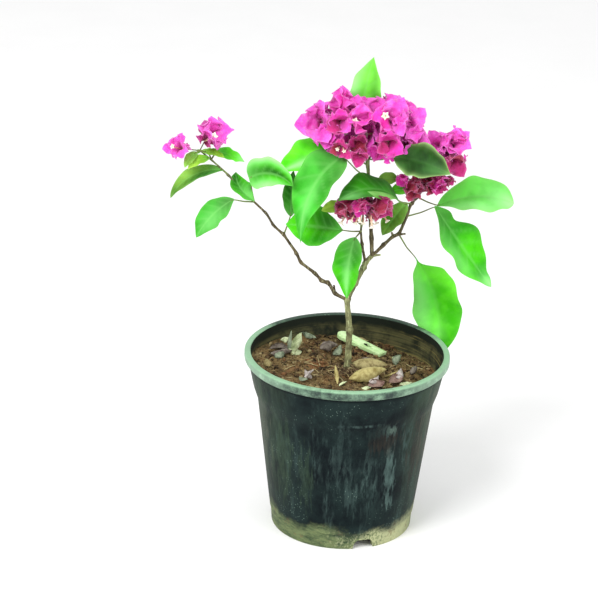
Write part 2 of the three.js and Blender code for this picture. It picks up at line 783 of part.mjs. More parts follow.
function chipMesh() {
  const { length, width, thick, hole } = CHIP;
  const outline = new THREE.Shape();
  outline.absellipse(-length / 2 + width / 2, 0, width / 2, width / 2, Math.PI / 2, (3 * Math.PI) / 2);
  outline.lineTo(length / 2, -width * 0.42);
  outline.lineTo(length / 2 + 2, width * 0.3);
  outline.closePath();
  const window = new THREE.Path();
  window.absellipse(length * 0.16, 0, hole[0] / 2, hole[1] / 2, 0, 2 * Math.PI);
  outline.holes.push(window);
  const slab = new THREE.ExtrudeGeometry(outline, { depth: thick, bevelEnabled: false, curveSegments: 8 });
  const mesh = meshOf("cane_chip", solidOf(slab.translate(0, 0, -thick / 2)), palePith);
  mesh.rotation.set(0, radians(CHIP.tilt), radians(CHIP.heading), "ZYX");
  mesh.position.set(CHIP.x, CHIP.y, POT.height);
  return mesh;
}

// The whole plant, limb by limb and spray by spray.
function growPlant(plant) {
  for (const [name, limb] of Object.entries(LIMBS)) growJoints(name, limb);
  for (const spray of Object.values(SPRAYS)) {
    for (const [name, twig] of Object.entries(spray.twigs)) growJoints(name, twig);
  }
  const rooms = {};
  const add = (name, solid, material) => {
    placed.push(solid);
    plant.add(meshOf(name, solid, material));
  };
  for (const [name, limb] of Object.entries(LIMBS)) {
    const isTrunk = name === "trunk";
    let solid = isTrunk ? trunkSolid() : limbSolid(name, limb);
    for (const room of Object.values(rooms)) solid = solid.subtract(room);
    rooms[name] = isTrunk ? trunkSolid(GAP) : limbSolid(name, limb, GAP);
    add(name, largestBody(solid), bark);
  }
  const trim = (pieces) => {
    let solid = wasm.Manifold.union(pieces);
    for (const room of Object.values(rooms)) solid = solid.subtract(room);
    return largestBody(solid);
  };
  for (const [name, leaves] of Object.entries(SIDE_LEAVES)) add(name, trim(leaves.flatMap(leafPieces)), leafGreen);
  for (const [name, spray] of Object.entries(SPRAYS)) {
    add(name, trim(sprayPieces(spray)), spray.domes.length ? bractMagenta : leafGreen);
  }
}

const bush = new THREE.Group();
const potAndSoil = new THREE.Group();
potAndSoil.add(meshOf("pot", potSolid(), potPlastic));
const soil = meshOf("soil", soilSolid(), soilBrown);
potAndSoil.add(soil);
for (const [name, leaf] of Object.entries(DRY_LEAVES)) potAndSoil.add(layOnSoil(dryLeafMesh(name, leaf), soil));
potAndSoil.add(layOnSoil(chipMesh(), soil));
bush.add(potAndSoil);

const plant = new THREE.Group();
growPlant(plant);
bush.add(plant);

export default bush;
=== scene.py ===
import math

import bpy
import numpy as np
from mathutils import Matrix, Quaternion, Vector, noise


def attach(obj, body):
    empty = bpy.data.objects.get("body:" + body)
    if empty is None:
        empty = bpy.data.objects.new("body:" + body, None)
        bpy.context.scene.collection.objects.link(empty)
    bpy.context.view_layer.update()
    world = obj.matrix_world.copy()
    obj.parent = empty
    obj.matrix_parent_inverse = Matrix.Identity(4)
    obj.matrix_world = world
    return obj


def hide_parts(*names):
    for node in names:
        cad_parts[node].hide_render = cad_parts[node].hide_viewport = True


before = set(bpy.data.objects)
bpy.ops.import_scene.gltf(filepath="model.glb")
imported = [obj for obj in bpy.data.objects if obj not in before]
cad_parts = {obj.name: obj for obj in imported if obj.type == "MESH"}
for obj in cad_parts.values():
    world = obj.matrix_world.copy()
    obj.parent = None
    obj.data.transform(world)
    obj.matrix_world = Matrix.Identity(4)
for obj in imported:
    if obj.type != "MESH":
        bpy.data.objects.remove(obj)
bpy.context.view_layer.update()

# The bougainvillea bush in its nursery pot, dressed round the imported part. Metres, +Z up, X to the right
# of the front view and Y away from the viewer, with the origin on the ground on the pot's axis. A heading
# is a compass angle in degrees, 0 along +X and 90 along +Y, and a climb is an angle above the horizontal.
# The plant grows by the rules of the part's source, on finer blades, twigs and bracts.
UP = np.array((0.0, 0.0, 1.0))
THIRD_TURN = 2 * math.pi / 3
GOLDEN_ANGLE = math.pi * (3 - math.sqrt(5))

# The camera of the photograph: what it looks at, how far off, how steeply down and how far it is tilted.
CAMERA = dict(
    target=(-0.0485, 0.0, 0.2332), distance=2.5, pitch=22.0, roll=1.8, lens=156.0, sensor=36.0, near=0.05,
)
FLOOR_SIZE = 60.0

# The pot, as the part has it, with its lip rounded in more steps.
POT = dict(
    sides=144, height=0.1804, wall=0.0022, foot_radius=0.0692, foot_band=0.0155, foot_step=0.0008,
    wall_slope=0.128, shoulder=(0.132, 0.145), shoulder_slope=0.34, lip_from=0.1706, lip_wall=0.0961,
    lip_radius=0.1, lip_round=0.0042, lip_step=0.0022, rim_round=0.0016, foot_round=0.0006, floor=0.0024,
    disc_radius=0.04, disc_lean=0.0035, channel_height=0.011, ring_width=0.0065,
)
NOTCHES = dict(
    count=3, heading=-72, foot_width=0.022, top_width=0.017, height=0.0095, round=0.004, deep=0.016,
    inset=0.002,
)
DRAINS = dict(count=6, radius=0.0045, at=0.052, deep=0.01)

# The soil: flat round the trunk's foot, higher on the left and lower on the right, and its crumbs.
SOIL = dict(
    top=0.16, pad_radius=0.009, blend=0.016, clear=0.0004, fall_right=0.1, fall_back=0.03, lump=0.0011,
    pitch=0.0016, rough=0.0017, clod=0.012, calm=0.7, calm_from=0.008, calm_to=0.02,
)
CRUMBS = dict(
    count=1500, smallest=0.0005, largest=0.0034, spread=0.087, broad=(0.7, 1.3), tall=(0.5, 0.9),
    lumpy=(0.7, 1.15), raised=0.2, shares=(0.5, 0.28, 0.16, 0.06),
)
FIBRES = dict(
    count=190, shortest=0.004, longest=0.021, thick=0.0006, spread=0.084, limit=0.088, lift=0.0002, bow=0.3,
    lying=(0, 0.22), at_trunk=110, trunk_clear=0.006, trunk_spread=0.016, trunk_length=0.8, trunk_lean=0.7,
    standing=(0.3, 0.9),
)

# Where the trunk leaves the soil, how it flares there, and how far it goes on under the soil.
FOOT = dict(x=0.001, y=0.003, flare=0.0013, flare_height=0.007, sunk=0.002, gap=0.0003)

# Bark: how closely a limb is ringed, how its corners are eased, how its joints swell and knot, how large its
# ridges and grain are, and how rough it is on each kind of stem.
BARK = dict(
    pitch=0.0011, sides=16, easing=9, swell=0.3, swell_reach=0.0028, knot=0.0012, knot_above=0.0012,
    knot_reach=0.0017, knot_breadth=0.55, ridge=0.00022, ridge_pitch=0.011, grain=0.00016, grain_pitch=0.0032,
    thinnest=0.3, rough=dict(trunk=1.0, bough=0.7, twig=0.4),
)
STUB = dict(base=0.0027, tip=0.0017)

# Blades: how far their rows close up towards both ends, the leaf's own build, and its places across from
# midrib to margin.
CLOSENESS = 0.35
LEAF = dict(
    rows=44, short=0.03, thick=0.0005, fold=12, lead=0.8, tail=1.0, sunk=0.0012, veins=7, quilt=0.00022,
    quilt_from=0.05, wave=0.05, rib=0.0004, petiole=0.0015, petiole_sag=0.04, petiole_sunk=0.0025,
)
ACROSS = (0.03, 0.13, 0.27, 0.42, 0.57, 0.72, 0.87, 1.0)
LEAF_ACROSS = np.array([-place for place in ACROSS[::-1]] + list(ACROSS))
TWIG = dict(base=0.0022, tip=0.0014)

# A head of blossom: three papery bracts on a short stalk, with small cream flowers between them.
# A head's dark is how far the painted shade at the root of each bract reaches.
HEAD = dict(
    length=0.026, width=0.024, lean=(14, 82), stalk=0.0011, sunk=0.0015, thick=0.0003, rows=24, lead=0.75,
    tail=1.05, cup=12, swing=20, tilt=18, twist=22, crinkle=0.0032, crinkle_size=0.0075, ruffle=0.0048,
    frill=0.0021, dark=0.3,
)
BRACT_ACROSS = np.array((-1, -0.84, -0.62, -0.36, -0.12, 0.12, 0.36, 0.62, 0.84, 1))
DOME = dict(
    per_reach=1 / 0.034, squash=1.0, stray=0.5, open=36, blooming=0.25,
    layers=(
        dict(crowd=2.1, core=0.42, scale=0.86, shade=0.0),
        dict(crowd=1.0, core=0.12, scale=0.8, shade=0.3),
    ),
)
FLOWER = dict(
    tube=0.0011, length=0.015, star=0.0039, notch=0.0023, sides=10, stray=0.35, apart=0.0012, spread=0.16,
)
# The small flowers that hang under a dome: over how wide a turn, how steeply, and how far out in it.
HANGING = dict(first=185, turn=170, stray=25, out_climb=15, climb=-58, near=0.2, far=0.6)

# Limbs are chains of internodes, each a length, heading and climb. A limb starts at a joint of its parent. A
# stub is what is left of a broken shoot: its joint, length, heading and climb.
LIMBS = {
    "trunk": dict(
        base=0.0066, tip=0.0044,
        steps=[
            (0.041, 50, 89), (0.032, 196, 83), (0.019, 0, 67), (0.017, 8, 65), (0.006, 30, 70),
            (0.009, 18, 43),
        ],
        stubs=[(6, 0.0085, 6, 6)],
    ),
    "left_bough": dict(
        start=("trunk", 2), base=0.0035, tip=0.002, stubs=[(1, 0.0085, 120, 78), (4, 0.004, 250, 20)],
        steps=[
            (0.014, 190, 29), (0.014, 207, 61), (0.007, 197, 17), (0.011, 188, 50),
            (0.019, 192, 39), (0.01, 196, 68), (0.024, 193, 56), (0.014, 191, 44),
            (0.015, 196, 60), (0.017, 194, 45),
        ],
    ),
    "inner_shoot": dict(
        start=("trunk", 5), base=0.0028, tip=0.0022, steps=[(0.021, 231, 72), (0.015, 243, 77)],
    ),
    "centre_bough": dict(
        start=("trunk", 6), base=0.004, tip=0.003,
        steps=[(0.018, 140, 85), (0.023, 157, 84), (0.035, 139, 85)],
    ),
    "right_bough": dict(
        start=("trunk", 6), base=0.0034, tip=0.0026, stubs=[(3, 0.0065, 350, 12), (2, 0.004, 150, 60)],
        steps=[
            (0.015, 29, 36), (0.014, 40, 30), (0.007, 34, 2), (0.019, 36, 64), (0.013, 40, 69),
            (0.009, 17, 42),
        ],
    ),
    "back_bough": dict(
        start=("trunk", 6), base=0.0032, tip=0.0024,
        steps=[(0.023, 91, 20), (0.024, 95, 42), (0.026, 99, 62)],
    ),
}


def leaf_on(stem, joint, petiole, tone, length, width, heading, climb, roll, **more):
    """A leaf: the stem and joint it grows from, its petiole's length, heading and climb, its tone and size,
    where it points, how steeply it climbs at its base and at its tip, and its roll. Then what sets it apart:
    a bend, patches of painted highlight and of painted shade, or dents. A dent is its share of the leaf's
    length, its side, its depth and its spread, and a depth below 0 is a bulge."""
    return dict(
        on=(stem, joint), petiole=petiole, tone=tone, length=length, width=width, heading=heading,
        climb=climb, roll=roll, **more,
    )


def head_on(stalk, axis, spin, lean, scale, tone=0, dark=HEAD["dark"], blooms=0):
    """A head of blossom: its stalk's length, heading and climb, the heading and climb it faces, its turn
    about them, how far its bracts lean out at the root and at the tip, its size, its tone from light to
    crimson, whose darker steps are painted shade, how far the painted shade at its root reaches, and its
    count of small flowers."""
    return dict(
        stalk=stalk, axis=axis, spin=spin, lean=lean, scale=scale, tone=tone, dark=dark, blooms=blooms,
    )


def litter_at(at, size, heading, curl, tone, **more):
    """A dry leaf or scrap: its place, its length and width, its heading, its curl and its tone."""
    return dict(at=at, size=size, heading=heading, curl=curl, tone=tone, **more)


# Each spray: its twigs, its leaves, its heads of blossom by the joint that carries them, and the domes of
# heads that fill in behind those. A dome's heads are spaced by rule from its top to its lowest climb.
SPRAYS = {
    "left_spray": dict(
        twigs={
            "left_twig": dict(
                start=("left_bough", 10),
                steps=[(0.021, 192, 45), (0.016, 191, 52), (0.023, 187, 43), (0.014, 186, 40)],
            ),
        },
        leaves=[
            leaf_on(
                "left_twig", 0, (0.021, 198, 11), "fresh", 0.051, 0.026, 196, (-27, -64), 41, lead=0.9,
                pale=[(0.6, 0.3, 0.35, 0.8, 0.35)], dim=[(0.08, 0, 0.3, 1.2, 1.0)],
            ),
            leaf_on(
                "left_twig", 0, (0.0095, 268, 30), "grass", 0.034, 0.021, 145, (33, 58), 19, bend=-112,
                fold=20, pale=[(0.2, -0.3, 0.3, 0.8, 0.4)], dim=[(0.85, 0.2, 0.5, 1.2, 1.0)],
            ),
            leaf_on(
                "left_twig", 0, (0.026, 225, 76), "grass", 0.047, 0.032, 343, (40, -47), -53, lead=0.4,
                pale=[(0.35, 1.0, 0.5, 0.3, 1.0), (0.4, -0.9, 0.4, 0.4, 0.8)],
                dim=[(0.55, 0.15, 0.5, 0.35, 1.0)],
            ),
            leaf_on(
                "left_twig", 2, (0.008, 197, 45), "olive", 0.06, 0.017, 191, (10, -66), 30, lead=0.9,
                tail=0.9, dim=[(0.3, 0.7, 0.5, 0.8, 1.0)],
            ),
            leaf_on(
                "left_twig", 3, (0.009, 30, 55), "sunny", 0.031, 0.014, 20, (-14, -34), -40, tail=1.0,
                pale=[(0.95, 0, 0.2, 1.0, 0.8)], dim=[(0.25, 0, 0.3, 1.0, 0.5)],
            ),
            leaf_on("left_twig", 3, (0.006, 250, 30), "yellowish", 0.024, 0.011, 205, (10, -55), 30),
            leaf_on("left_twig", 3, (0.005, 120, 50), "yellowish", 0.026, 0.013, 120, (20, -50), 0),
            leaf_on("left_twig", 4, (0.004, 215, -20), "olive", 0.02, 0.01, 230, (-10, -60), 20),
            leaf_on("left_twig", 4, (0.004, 330, -10), "yellowish", 0.022, 0.01, 340, (15, -30), -20),
        ],
        heads={
            ("left_twig", 4): [
                head_on((0.0115, 352, 66), (318, 44), 30, (6, 52), 1.2, dark=0.4, blooms=1),
                head_on((0.0165, 182, 4), (240, 28), 20, (25, 78), 0.8, blooms=1),
            ],
        },
        domes=[],
    ),
    "crown": dict(
        twigs={
            "crown_stem": dict(
                start=("centre_bough", 3),
                steps=[(0.02, 121, 83), (0.015, 194, 56), (0.019, 195, 36), (0.011, 192, 24)],
            ),
            "crown_right_twig": dict(start=("crown_stem", 1), steps=[(0.016, 0, 61), (0.017, 0, 58)]),
        },
        leaves=[
            leaf_on(
                "crown_stem", 3, (0.014, 186, -50), "sunny", 0.063, 0.036, 196, (-8, -36), 35, tail=1.25,
                pale=[(0.5, 0.35, 0.6, 0.3, 1.0)],
            ),
            leaf_on(
                "crown_stem", 0, (0.045, 220, 42), "fresh", 0.099, 0.044, 222, (-21, -98), 27, bend=24,
                lead=0.62, tail=1.6, dents=[(0.26, 1, 0.2, 0.16)], pale=[(0.65, 0.1, 0.3, 0.4, 0.3)],
                dim=[(0.2, 0.8, 0.25, 0.6, 0.6), (0.15, -0.4, 0.15, 0.8, 0.4)],
            ),
            leaf_on(
                "crown_stem", 1, (0.0386, 310, 19), "shaded", 0.058, 0.038, 336, (4, -19), -42, lead=0.9,
                tail=1.15, pale=[(0.8, -0.3, 0.25, 0.6, 0.15)],
            ),
            leaf_on(
                "crown_stem", 2, (0.018, 102, 71), "lime", 0.0702, 0.034, 27, (88, 72), -60, tail=1.1,
                dents=[(0.5, 1, 0.16, 0.14)], pale=[(0.5, 0.9, 0.4, 0.5, 0.8)],
                dim=[(0.55, -0.6, 0.35, 0.4, 0.5)],
            ),
            leaf_on("crown_stem", 0, (0.015, 45, -22), "olive", 0.021, 0.013, 14, (38, -32), -60),
        ],
        heads={
            ("crown_stem", 4): [
                head_on((0.018, 207, 38), (245, 20), 17, (22, 78), 1.22),
                head_on((0.017, 260, 12), (240, 0), -30, (20, 70), 0.75, tone=1),
                head_on((0.026, 284, 44), (265, 8), 30, (12, 60), 0.9, tone=1, dark=0.5),
                head_on((0.023, 307, 66), (262, 86), 0, (3, 12), 1.08, dark=0.2),
                head_on((0.022, 215, 50), (120, 78), 20, (2, 40), 0.72, dark=0.15),
                head_on((0.031, 326, 24), (268, 50), 30, (12, 52), 1.1, tone=1, dark=0.4, blooms=1),
                head_on((0.024, 285, -12), (262, -10), 20, (25, 80), 0.62, tone=2.5, blooms=2),
                head_on((0.033, 318, -20), (270, -15), 80, (20, 70), 0.62, tone=2.4),
                head_on((0.016, 262, 20), (255, 5), 75, (15, 80), 0.85),
                head_on((0.026, 340, 48), (275, 45), 15, (15, 84), 0.85),
                head_on((0.024, 330, -4), (268, -12), 10, (15, 76), 0.8, tone=2),
            ],
            ("crown_right_twig", 2): [
                head_on((0.026, 275, 41), (275, 28), 0, (16, 86), 1.15, blooms=1),
                head_on((0.028, 270, -1), (275, 5), 30, (14, 64), 0.95, tone=1, dark=0.5),
                head_on((0.026, 213, 44), (262, 50), 90, (15, 84), 1.0),
                head_on((0.022, 304, 62), (290, 42), 60, (15, 84), 1.0),
                head_on((0.024, 319, 34), (300, 15), 100, (15, 86), 1.05),
                head_on((0.023, 329, -4), (305, 0), 150, (15, 82), 0.95),
                head_on((0.021, 286, -24), (278, -10), 200, (15, 65), 0.7, tone=1),
            ],
        },
        domes=[
            dict(on=("crown_stem", 4), count=6, reach=0.028, lowest=-25, turn=200, shade=-0.35),
            dict(on=("crown_right_twig", 2), count=10, reach=0.037, lowest=-30, turn=20, shade=-0.4),
        ],
    ),
    "right_spray": dict(
        twigs={
            "right_twig": dict(
                start=("right_bough", 6), steps=[(0.02, 347, 63), (0.02, 349, 58), (0.014, 341, 64)],
            ),
            "low_twig": dict(start=("right_bough", 6), steps=[(0.009, 301, 60), (0.009, 301, 58)]),
        },
        leaves=[
            leaf_on(
                "right_twig", 0, (0.021, 354, -20), "mint", 0.077, 0.044, 8, (25, -24), -31, lead=1,
                tail=0.7, pale=[(0.97, -0.3, 0.32, 1.1, 1.0), (0.5, -0.8, 0.4, 0.5, 0.7)],
            ),
            leaf_on("right_twig", 1, (0.008, 75, 40), "grass", 0.044, 0.024, 92, (25, -30), 10),
            leaf_on("low_twig", 1, (0.009, 205, 12), "lime", 0.024, 0.016, 195, (20, -30), 30),
            leaf_on("right_twig", 2, (0.008, 110, 20), "fresh", 0.04, 0.022, 100, (10, -50), 0),
        ],
        heads={
            ("right_twig", 3): [
                head_on((0.014, 294, 40), (285, 42), 20, (12, 62), 1.0),
                head_on((0.016, 238, 42), (245, 32), 75, (14, 66), 0.95),
                head_on((0.015, 325, 52), (312, 58), 50, (8, 50), 0.78),
                head_on((0.014, 292, 0), (280, -14), 10, (14, 66), 0.86, tone=2.5, dark=0.5),
            ],
            ("low_twig", 2): [
                head_on((0.014, 222, 29), (262, -48), 60, (8, 44), 0.82, tone=3),
                head_on((0.018, 333, 41), (285, -42), 80, (8, 46), 0.85, tone=2),
                head_on((0.021, 196, 27), (235, -25), 40, (10, 60), 0.55, tone=1),
                head_on((0.024, 350, 23), (320, -35), 20, (10, 50), 0.45, tone=3),
                head_on((0.007, 45, 67), (270, -60), 0, (10, 40), 0.72, tone=3),
            ],
        },
        domes=[
            dict(on=("right_twig", 3), count=4, reach=0.022, lowest=-20, turn=90, shade=-0.8, full=1.05),
            dict(on=("low_twig", 2), count=2, reach=0.02, lowest=-5, turn=20, squash=0.5, shade=1.5),
        ],
    ),
    "middle_spray": dict(
        twigs={
            "middle_stem": dict(start=("inner_shoot", 2), steps=[(0.009, 272, 62), (0.016, 282, 67)]),
        },
        leaves=[
            leaf_on(
                "middle_stem", 0, (0.018, 192, 6), "grass", 0.055, 0.04, 185, (10, 3), 60, bend=-6,
                lead=1.25, tail=1.1, dim=[(0.3, -0.4, 0.3, 0.8, 0.9)],
            ),
            leaf_on(
                "middle_stem", 0, (0.009, 215, -40), "grass", 0.061, 0.034, 241, (-56, -103), -10, lead=0.7,
                tail=1.1, pale=[(0.75, 0, 0.35, 0.3, 0.6)], dim=[(0.15, 0.3, 0.32, 1.0, 0.85)],
            ),
            leaf_on("middle_stem", 1, (0.0285, 190, 46), "yellowish", 0.02, 0.013, 188, (-5, -25), 50),
        ],
        heads={
            ("middle_stem", 2): [
                head_on((0.022, 203, 45), (230, -54), 50, (6, 34), 0.95, tone=2.9, dark=0.5),
                head_on((0.02, 255, 58), (265, -50), 70, (6, 40), 0.74, tone=2.1, dark=0.45, blooms=1),
                head_on((0.023, 344, 51), (290, -50), 55, (6, 44), 0.97, tone=2.8, dark=0.5),
                head_on((0.014, 150, 40), (240, -60), 0, (8, 40), 0.8, tone=3, blooms=1),
                head_on((0.013, 53, 44), (300, -60), 20, (8, 40), 0.8, tone=3, blooms=1),
            ],
        },
        domes=[
            dict(
                on=("middle_stem", 2), count=3, reach=0.024, lowest=20, turn=150, squash=0.7, shade=1.3,
                lean=(5, 46), hanging=12,
            ),
        ],
    ),
    "back_spray": dict(
        twigs={
            "back_twig": dict(
                start=("back_bough", 3), steps=[(0.027, 150, 82), (0.027, 219, 77), (0.014, 110, 80)],
            ),
        },
        leaves=[
            leaf_on("back_twig", 1, (0.036, 176, 36), "grass", 0.07, 0.036, 128, (-49, -89), 0),
            leaf_on("back_twig", 2, (0.02, 350, 20), "fresh", 0.054, 0.032, 30, (-10, -50), 0),
            leaf_on("back_twig", 2, (0.008, 170, 0), "fresh", 0.06, 0.032, 172, (0, -40), -10),
            leaf_on("back_twig", 2, (0.01, 75, -50), "fresh", 0.056, 0.03, 73, (5, -45), 0),
            leaf_on("back_twig", 2, (0.017, 180, 45), "fresh", 0.049, 0.028, 134, (-4, -44), 0),
            leaf_on("back_twig", 2, (0.022, 0, 23), "fresh", 0.043, 0.025, 43, (6, -34), 0),
            leaf_on("back_twig", 0, (0.008, 60, 30), "fresh", 0.0585, 0.032, 95, (0, -44), 0),
        ],
        heads={},
        domes=[
            dict(on=("back_twig", 3), count=4, reach=0.024, lowest=-10, turn=60, shade=0.5),
        ],
    ),
}

# Leaves that grow straight from a bough.
SIDE_LEAVES = {
    "leaf_left_inner": [
        leaf_on("left_bough", 7, (0.02, 62, 51), "dark", 0.044, 0.018, 75, (87, 77), 10),
    ],
    "leaves_centre": [
        leaf_on(
            "right_bough", 5, (0.025, 238, 22), "dark", 0.079, 0.038, 216, (46, -26), 24, lead=0.85,
            tail=1.1, pale_side=(1, 0.6), pale=[(0.85, 0.4, 0.16, 0.5, 0.35)],
            dim=[(0.25, -0.8, 0.3, 0.6, 0.8)],
        ),
        leaf_on("right_bough", 5, (0.008, 234, 17), "olive", 0.039, 0.022, 213, (-38, -55), 25, tail=0.9),
    ],
    "leaf_right_hanging": [
        leaf_on(
            "right_bough", 4, (0.029, 6, 20), "grass", 0.097, 0.044, 349, (-55, -50), -34, lead=1, tail=0.9,
            wave=0.09,
            dents=[
                (0.24, 1, 0.24, 0.07), (0.84, 1, 0.75, 0.1), (0.5, -1, -0.08, 0.2), (0.55, 1, -0.08, 0.15),
            ],
            pale=[(0.97, 0, 0.12, 1.2, 0.8), (0.55, -0.7, 0.25, 0.4, 0.3)], dim=[(0.12, 0, 0.2, 1.2, 0.7)],
        ),
    ],
    "leaf_right_low": [
        leaf_on(
            "right_bough", 3, (0.05, 62, -43), "sunny", 0.121, 0.05, 31, (-51, -94), -130, lead=1.1,
            tail=0.95,
            dents=[
                (0.06, -1, 0.75, 0.06), (0.06, 1, 0.85, 0.065), (0.18, 1, -0.3, 0.06), (0.3, -1, 0.18, 0.16),
                (0.3, 1, -0.2, 0.14),
            ],
            pale=[(0.5, -0.75, 0.45, 0.5, 0.55), (0.8, -0.2, 0.15, 0.5, 0.3)],
        ),
    ],
}

# Litter on the soil. A curl is half the angle that a leaf is rolled through, below 0 with its open side
# down, an arch is how much its midrib rises and falls, and a climb is how steeply it stands.
LITTER = dict(
    rows=24, across=13, thick=0.0005, lead=0.8, tail=1.0, veins=6, quilt=0.0003, swing=30, rumple_size=0.4,
)
DRY_LEAVES = {
    "dry_leaf_back": litter_at((0.004, 0.0065), (0.039, 0.029), -3, -112, "tan", arch=34, rumple=0.03),
    "dry_leaf_front": litter_at((0.0015, -0.034), (0.046, 0.031), 31, -115, "golden", arch=34, rumple=0.022),
}
SCRAPS = [
    litter_at((-0.053, 0.015), (0.027, 0.02), 62, 80, "cream", climb=46, arch=-34, roll=35, rumple=0.12),
    litter_at((-0.044, 0.025), (0.015, 0.012), 200, -70, "cream", climb=20, roll=20),
    litter_at((-0.0565, 0.021), (0.023, 0.005), 80, 60, "grey", climb=66, arch=20),
    litter_at((-0.0655, 0.053), (0.01, 0.014), 10, -95, "cream", climb=10, arch=40),
    litter_at((-0.076, 0.01), (0.026, 0.013), 24, -90, "dusky", arch=25),
    litter_at((-0.07, 0.002), (0.018, 0.012), 55, -80, "grey", arch=30, roll=-15),
    litter_at((-0.058, 0.03), (0.019, 0.01), 190, 85, "dusky", arch=20, roll=30),
    litter_at((-0.026, 0.026), (0.022, 0.024), 30, -125, "dusky", arch=38, roll=-40),
    litter_at((0.037, -0.0085), (0.015, 0.003), 27, -60, "golden", climb=14),
    litter_at((-0.013, 0.03), (0.016, 0.011), 60, -70, "grey", climb=20),
    litter_at((-0.041, -0.045), (0.014, 0.009), 40, 60, "lilac", climb=35, roll=30),
    litter_at((-0.034, -0.041), (0.012, 0.008), 130, -70, "lilac", climb=30),
    litter_at((-0.046, -0.043), (0.011, 0.008), 320, -60, "grey", climb=5),
    litter_at((-0.009, -0.042), (0.02, 0.0045), 102, 50, "golden", climb=48),
    litter_at((-0.0075, -0.044), (0.009, 0.004), 30, 50, "cream", climb=20),
    litter_at((0.049, 0.028), (0.017, 0.016), 65, -125, "grey", climb=20, arch=45, roll=-40),
    litter_at((0.054, 0.04), (0.012, 0.009), 150, -100, "cream", arch=40),
    litter_at((0.02, -0.038), (0.021, 0.014), 36, 70, "wine", arch=-18, roll=-24),
    litter_at((0.022, -0.034), (0.017, 0.012), 58, -80, "lilac", climb=12, roll=-20),
    litter_at((0.041, -0.022), (0.019, 0.015), 47, 75, "wine", climb=6, arch=-15, roll=-30),
    litter_at((0.049, -0.014), (0.016, 0.012), 75, -80, "lilac", climb=14),
    litter_at((0.051, -0.024), (0.014, 0.011), 25, -60, "cream", arch=15, roll=15),
    litter_at((0.014, -0.043), (0.01, 0.008), 10, -70, "cream", arch=20),
    litter_at((0.063, 0.0), (0.02, 0.01), 70, -95, "dusky", arch=30),
    litter_at((0.03, 0.022), (0.018, 0.01), 150, -95, "dusky", arch=25),
    litter_at((-0.03, 0.068), (0.02, 0.012), 140, -90, "grey", arch=25),
    litter_at((-0.02, -0.068), (0.016, 0.01), 20, -90, "dusky", arch=25),
    litter_at((0.0, 0.075), (0.024, 0.014), 5, -95, "tan", arch=30),
    litter_at((-0.075, -0.02), (0.018, 0.011), 100, -80, "tan", arch=25),
]

# Colours, as base colours of the shaders.
POT_COLOURS = dict(
    plastic=(0.0025, 0.0055, 0.007), faded=(0.011, 0.022, 0.021), dust_and_highlight=(0.07, 0.115, 0.105),
    algae=(0.035, 0.06, 0.035), stain=(0.032, 0.025, 0.019), grime=(0.075, 0.085, 0.06),
    speck=(0.2, 0.3, 0.24),
    foot=(0.15, 0.19, 0.085), foot_dark=(0.035, 0.06, 0.032), foot_pale=(0.46, 0.48, 0.27),
    foot_rust=(0.16, 0.1, 0.05), lip=(0.1, 0.17, 0.115), lip_dark=(0.02, 0.036, 0.03),
    lip_light=(0.3, 0.46, 0.32), lip_top=(0.24, 0.42, 0.26), inside=(0.09, 0.086, 0.036),
    inside_dark=(0.008, 0.012, 0.007), inside_light=(0.27, 0.22, 0.07),
)
# The heights between which the pot's finishes change: among them the painted highlight along the ledge and on
# the lip's top, the painted shadow under the lip and the painted shade inside the rim. Then how far out to
# the side the algae, the raised foot band and the lip's paler sides begin and are full.
POT_LEVELS = dict(
    soiled_foot=(0.026, 0.01), shoulder=(0.128, 0.15), ledge_foot=(0.1372, 0.1392), ledge_top=(0.142, 0.14),
    under_lip=(0.1662, 0.1695), lip_top=(0.1778, 0.18), inner_rim=(0.168, 0.1735),
)
POT_SIDES = dict(algae=(0.045, 0.088), foot=(0.03, 0.075), lip=(0.04, 0.1))
# The painted highlight along the shoulder's ledge: its place and its reach along the three axes. Then marks
# on
# the pot: each a place, its reach along the three axes, its colour and its strength.
PAINTED_LEDGE_HIGHLIGHT = ((0.022, -0.084, 0.139), (0.03, 0.03, 0.03))
POT_PATCHES = (
    ((0.0435, -0.066, 0.073), (0.006, 0.02, 0.042), "dust_and_highlight", 0.95),
    ((0.0395, -0.0755, 0.122), (0.019, 0.024, 0.02), "stain", 0.6),
    ((0.043, -0.077, 0.1305), (0.011, 0.01, 0.008), "dust_and_highlight", 0.6),
    ((0.0435, -0.076, 0.1315), (0.006, 0.01, 0.0045), "speck", 0.45),
    ((0.083, -0.022, 0.11), (0.014, 0.036, 0.07), "grime", 0.75),
    ((-0.083, -0.022, 0.1), (0.014, 0.036, 0.075), "grime", 0.75),
    ((0.083, 0.022, 0.09), (0.014, 0.03, 0.05), "grime", 0.5),
    ((-0.083, 0.03, 0.11), (0.014, 0.03, 0.05), "grime", 0.5),
    ((0.07, -0.042, 0.098), (0.012, 0.022, 0.05), "stain", 0.6),
    ((-0.006, -0.083, 0.1), (0.006, 0.02, 0.034), "dust_and_highlight", 0.3),
    ((0.004, -0.077, 0.066), (0.006, 0.02, 0.026), "dust_and_highlight", 0.3),
    ((-0.037, -0.068, 0.078), (0.008, 0.02, 0.044), "algae", 0.55),
    ((-0.06, -0.052, 0.09), (0.013, 0.022, 0.05), "algae", 0.65),
    ((0.03, -0.08, 0.133), (0.02, 0.02, 0.011), "faded", 0.9),
    ((0.028, -0.068, 0.048), (0.008, 0.02, 0.02), "faded", 0.8),
    ((0.02, 0.083, 0.09), (0.012, 0.02, 0.05), "stain", 0.6),
    ((-0.03, 0.075, 0.07), (0.006, 0.02, 0.04), "dust_and_highlight", 0.8),
    ((-0.084, 0.01, 0.11), (0.02, 0.012, 0.03), "stain", 0.5),
)
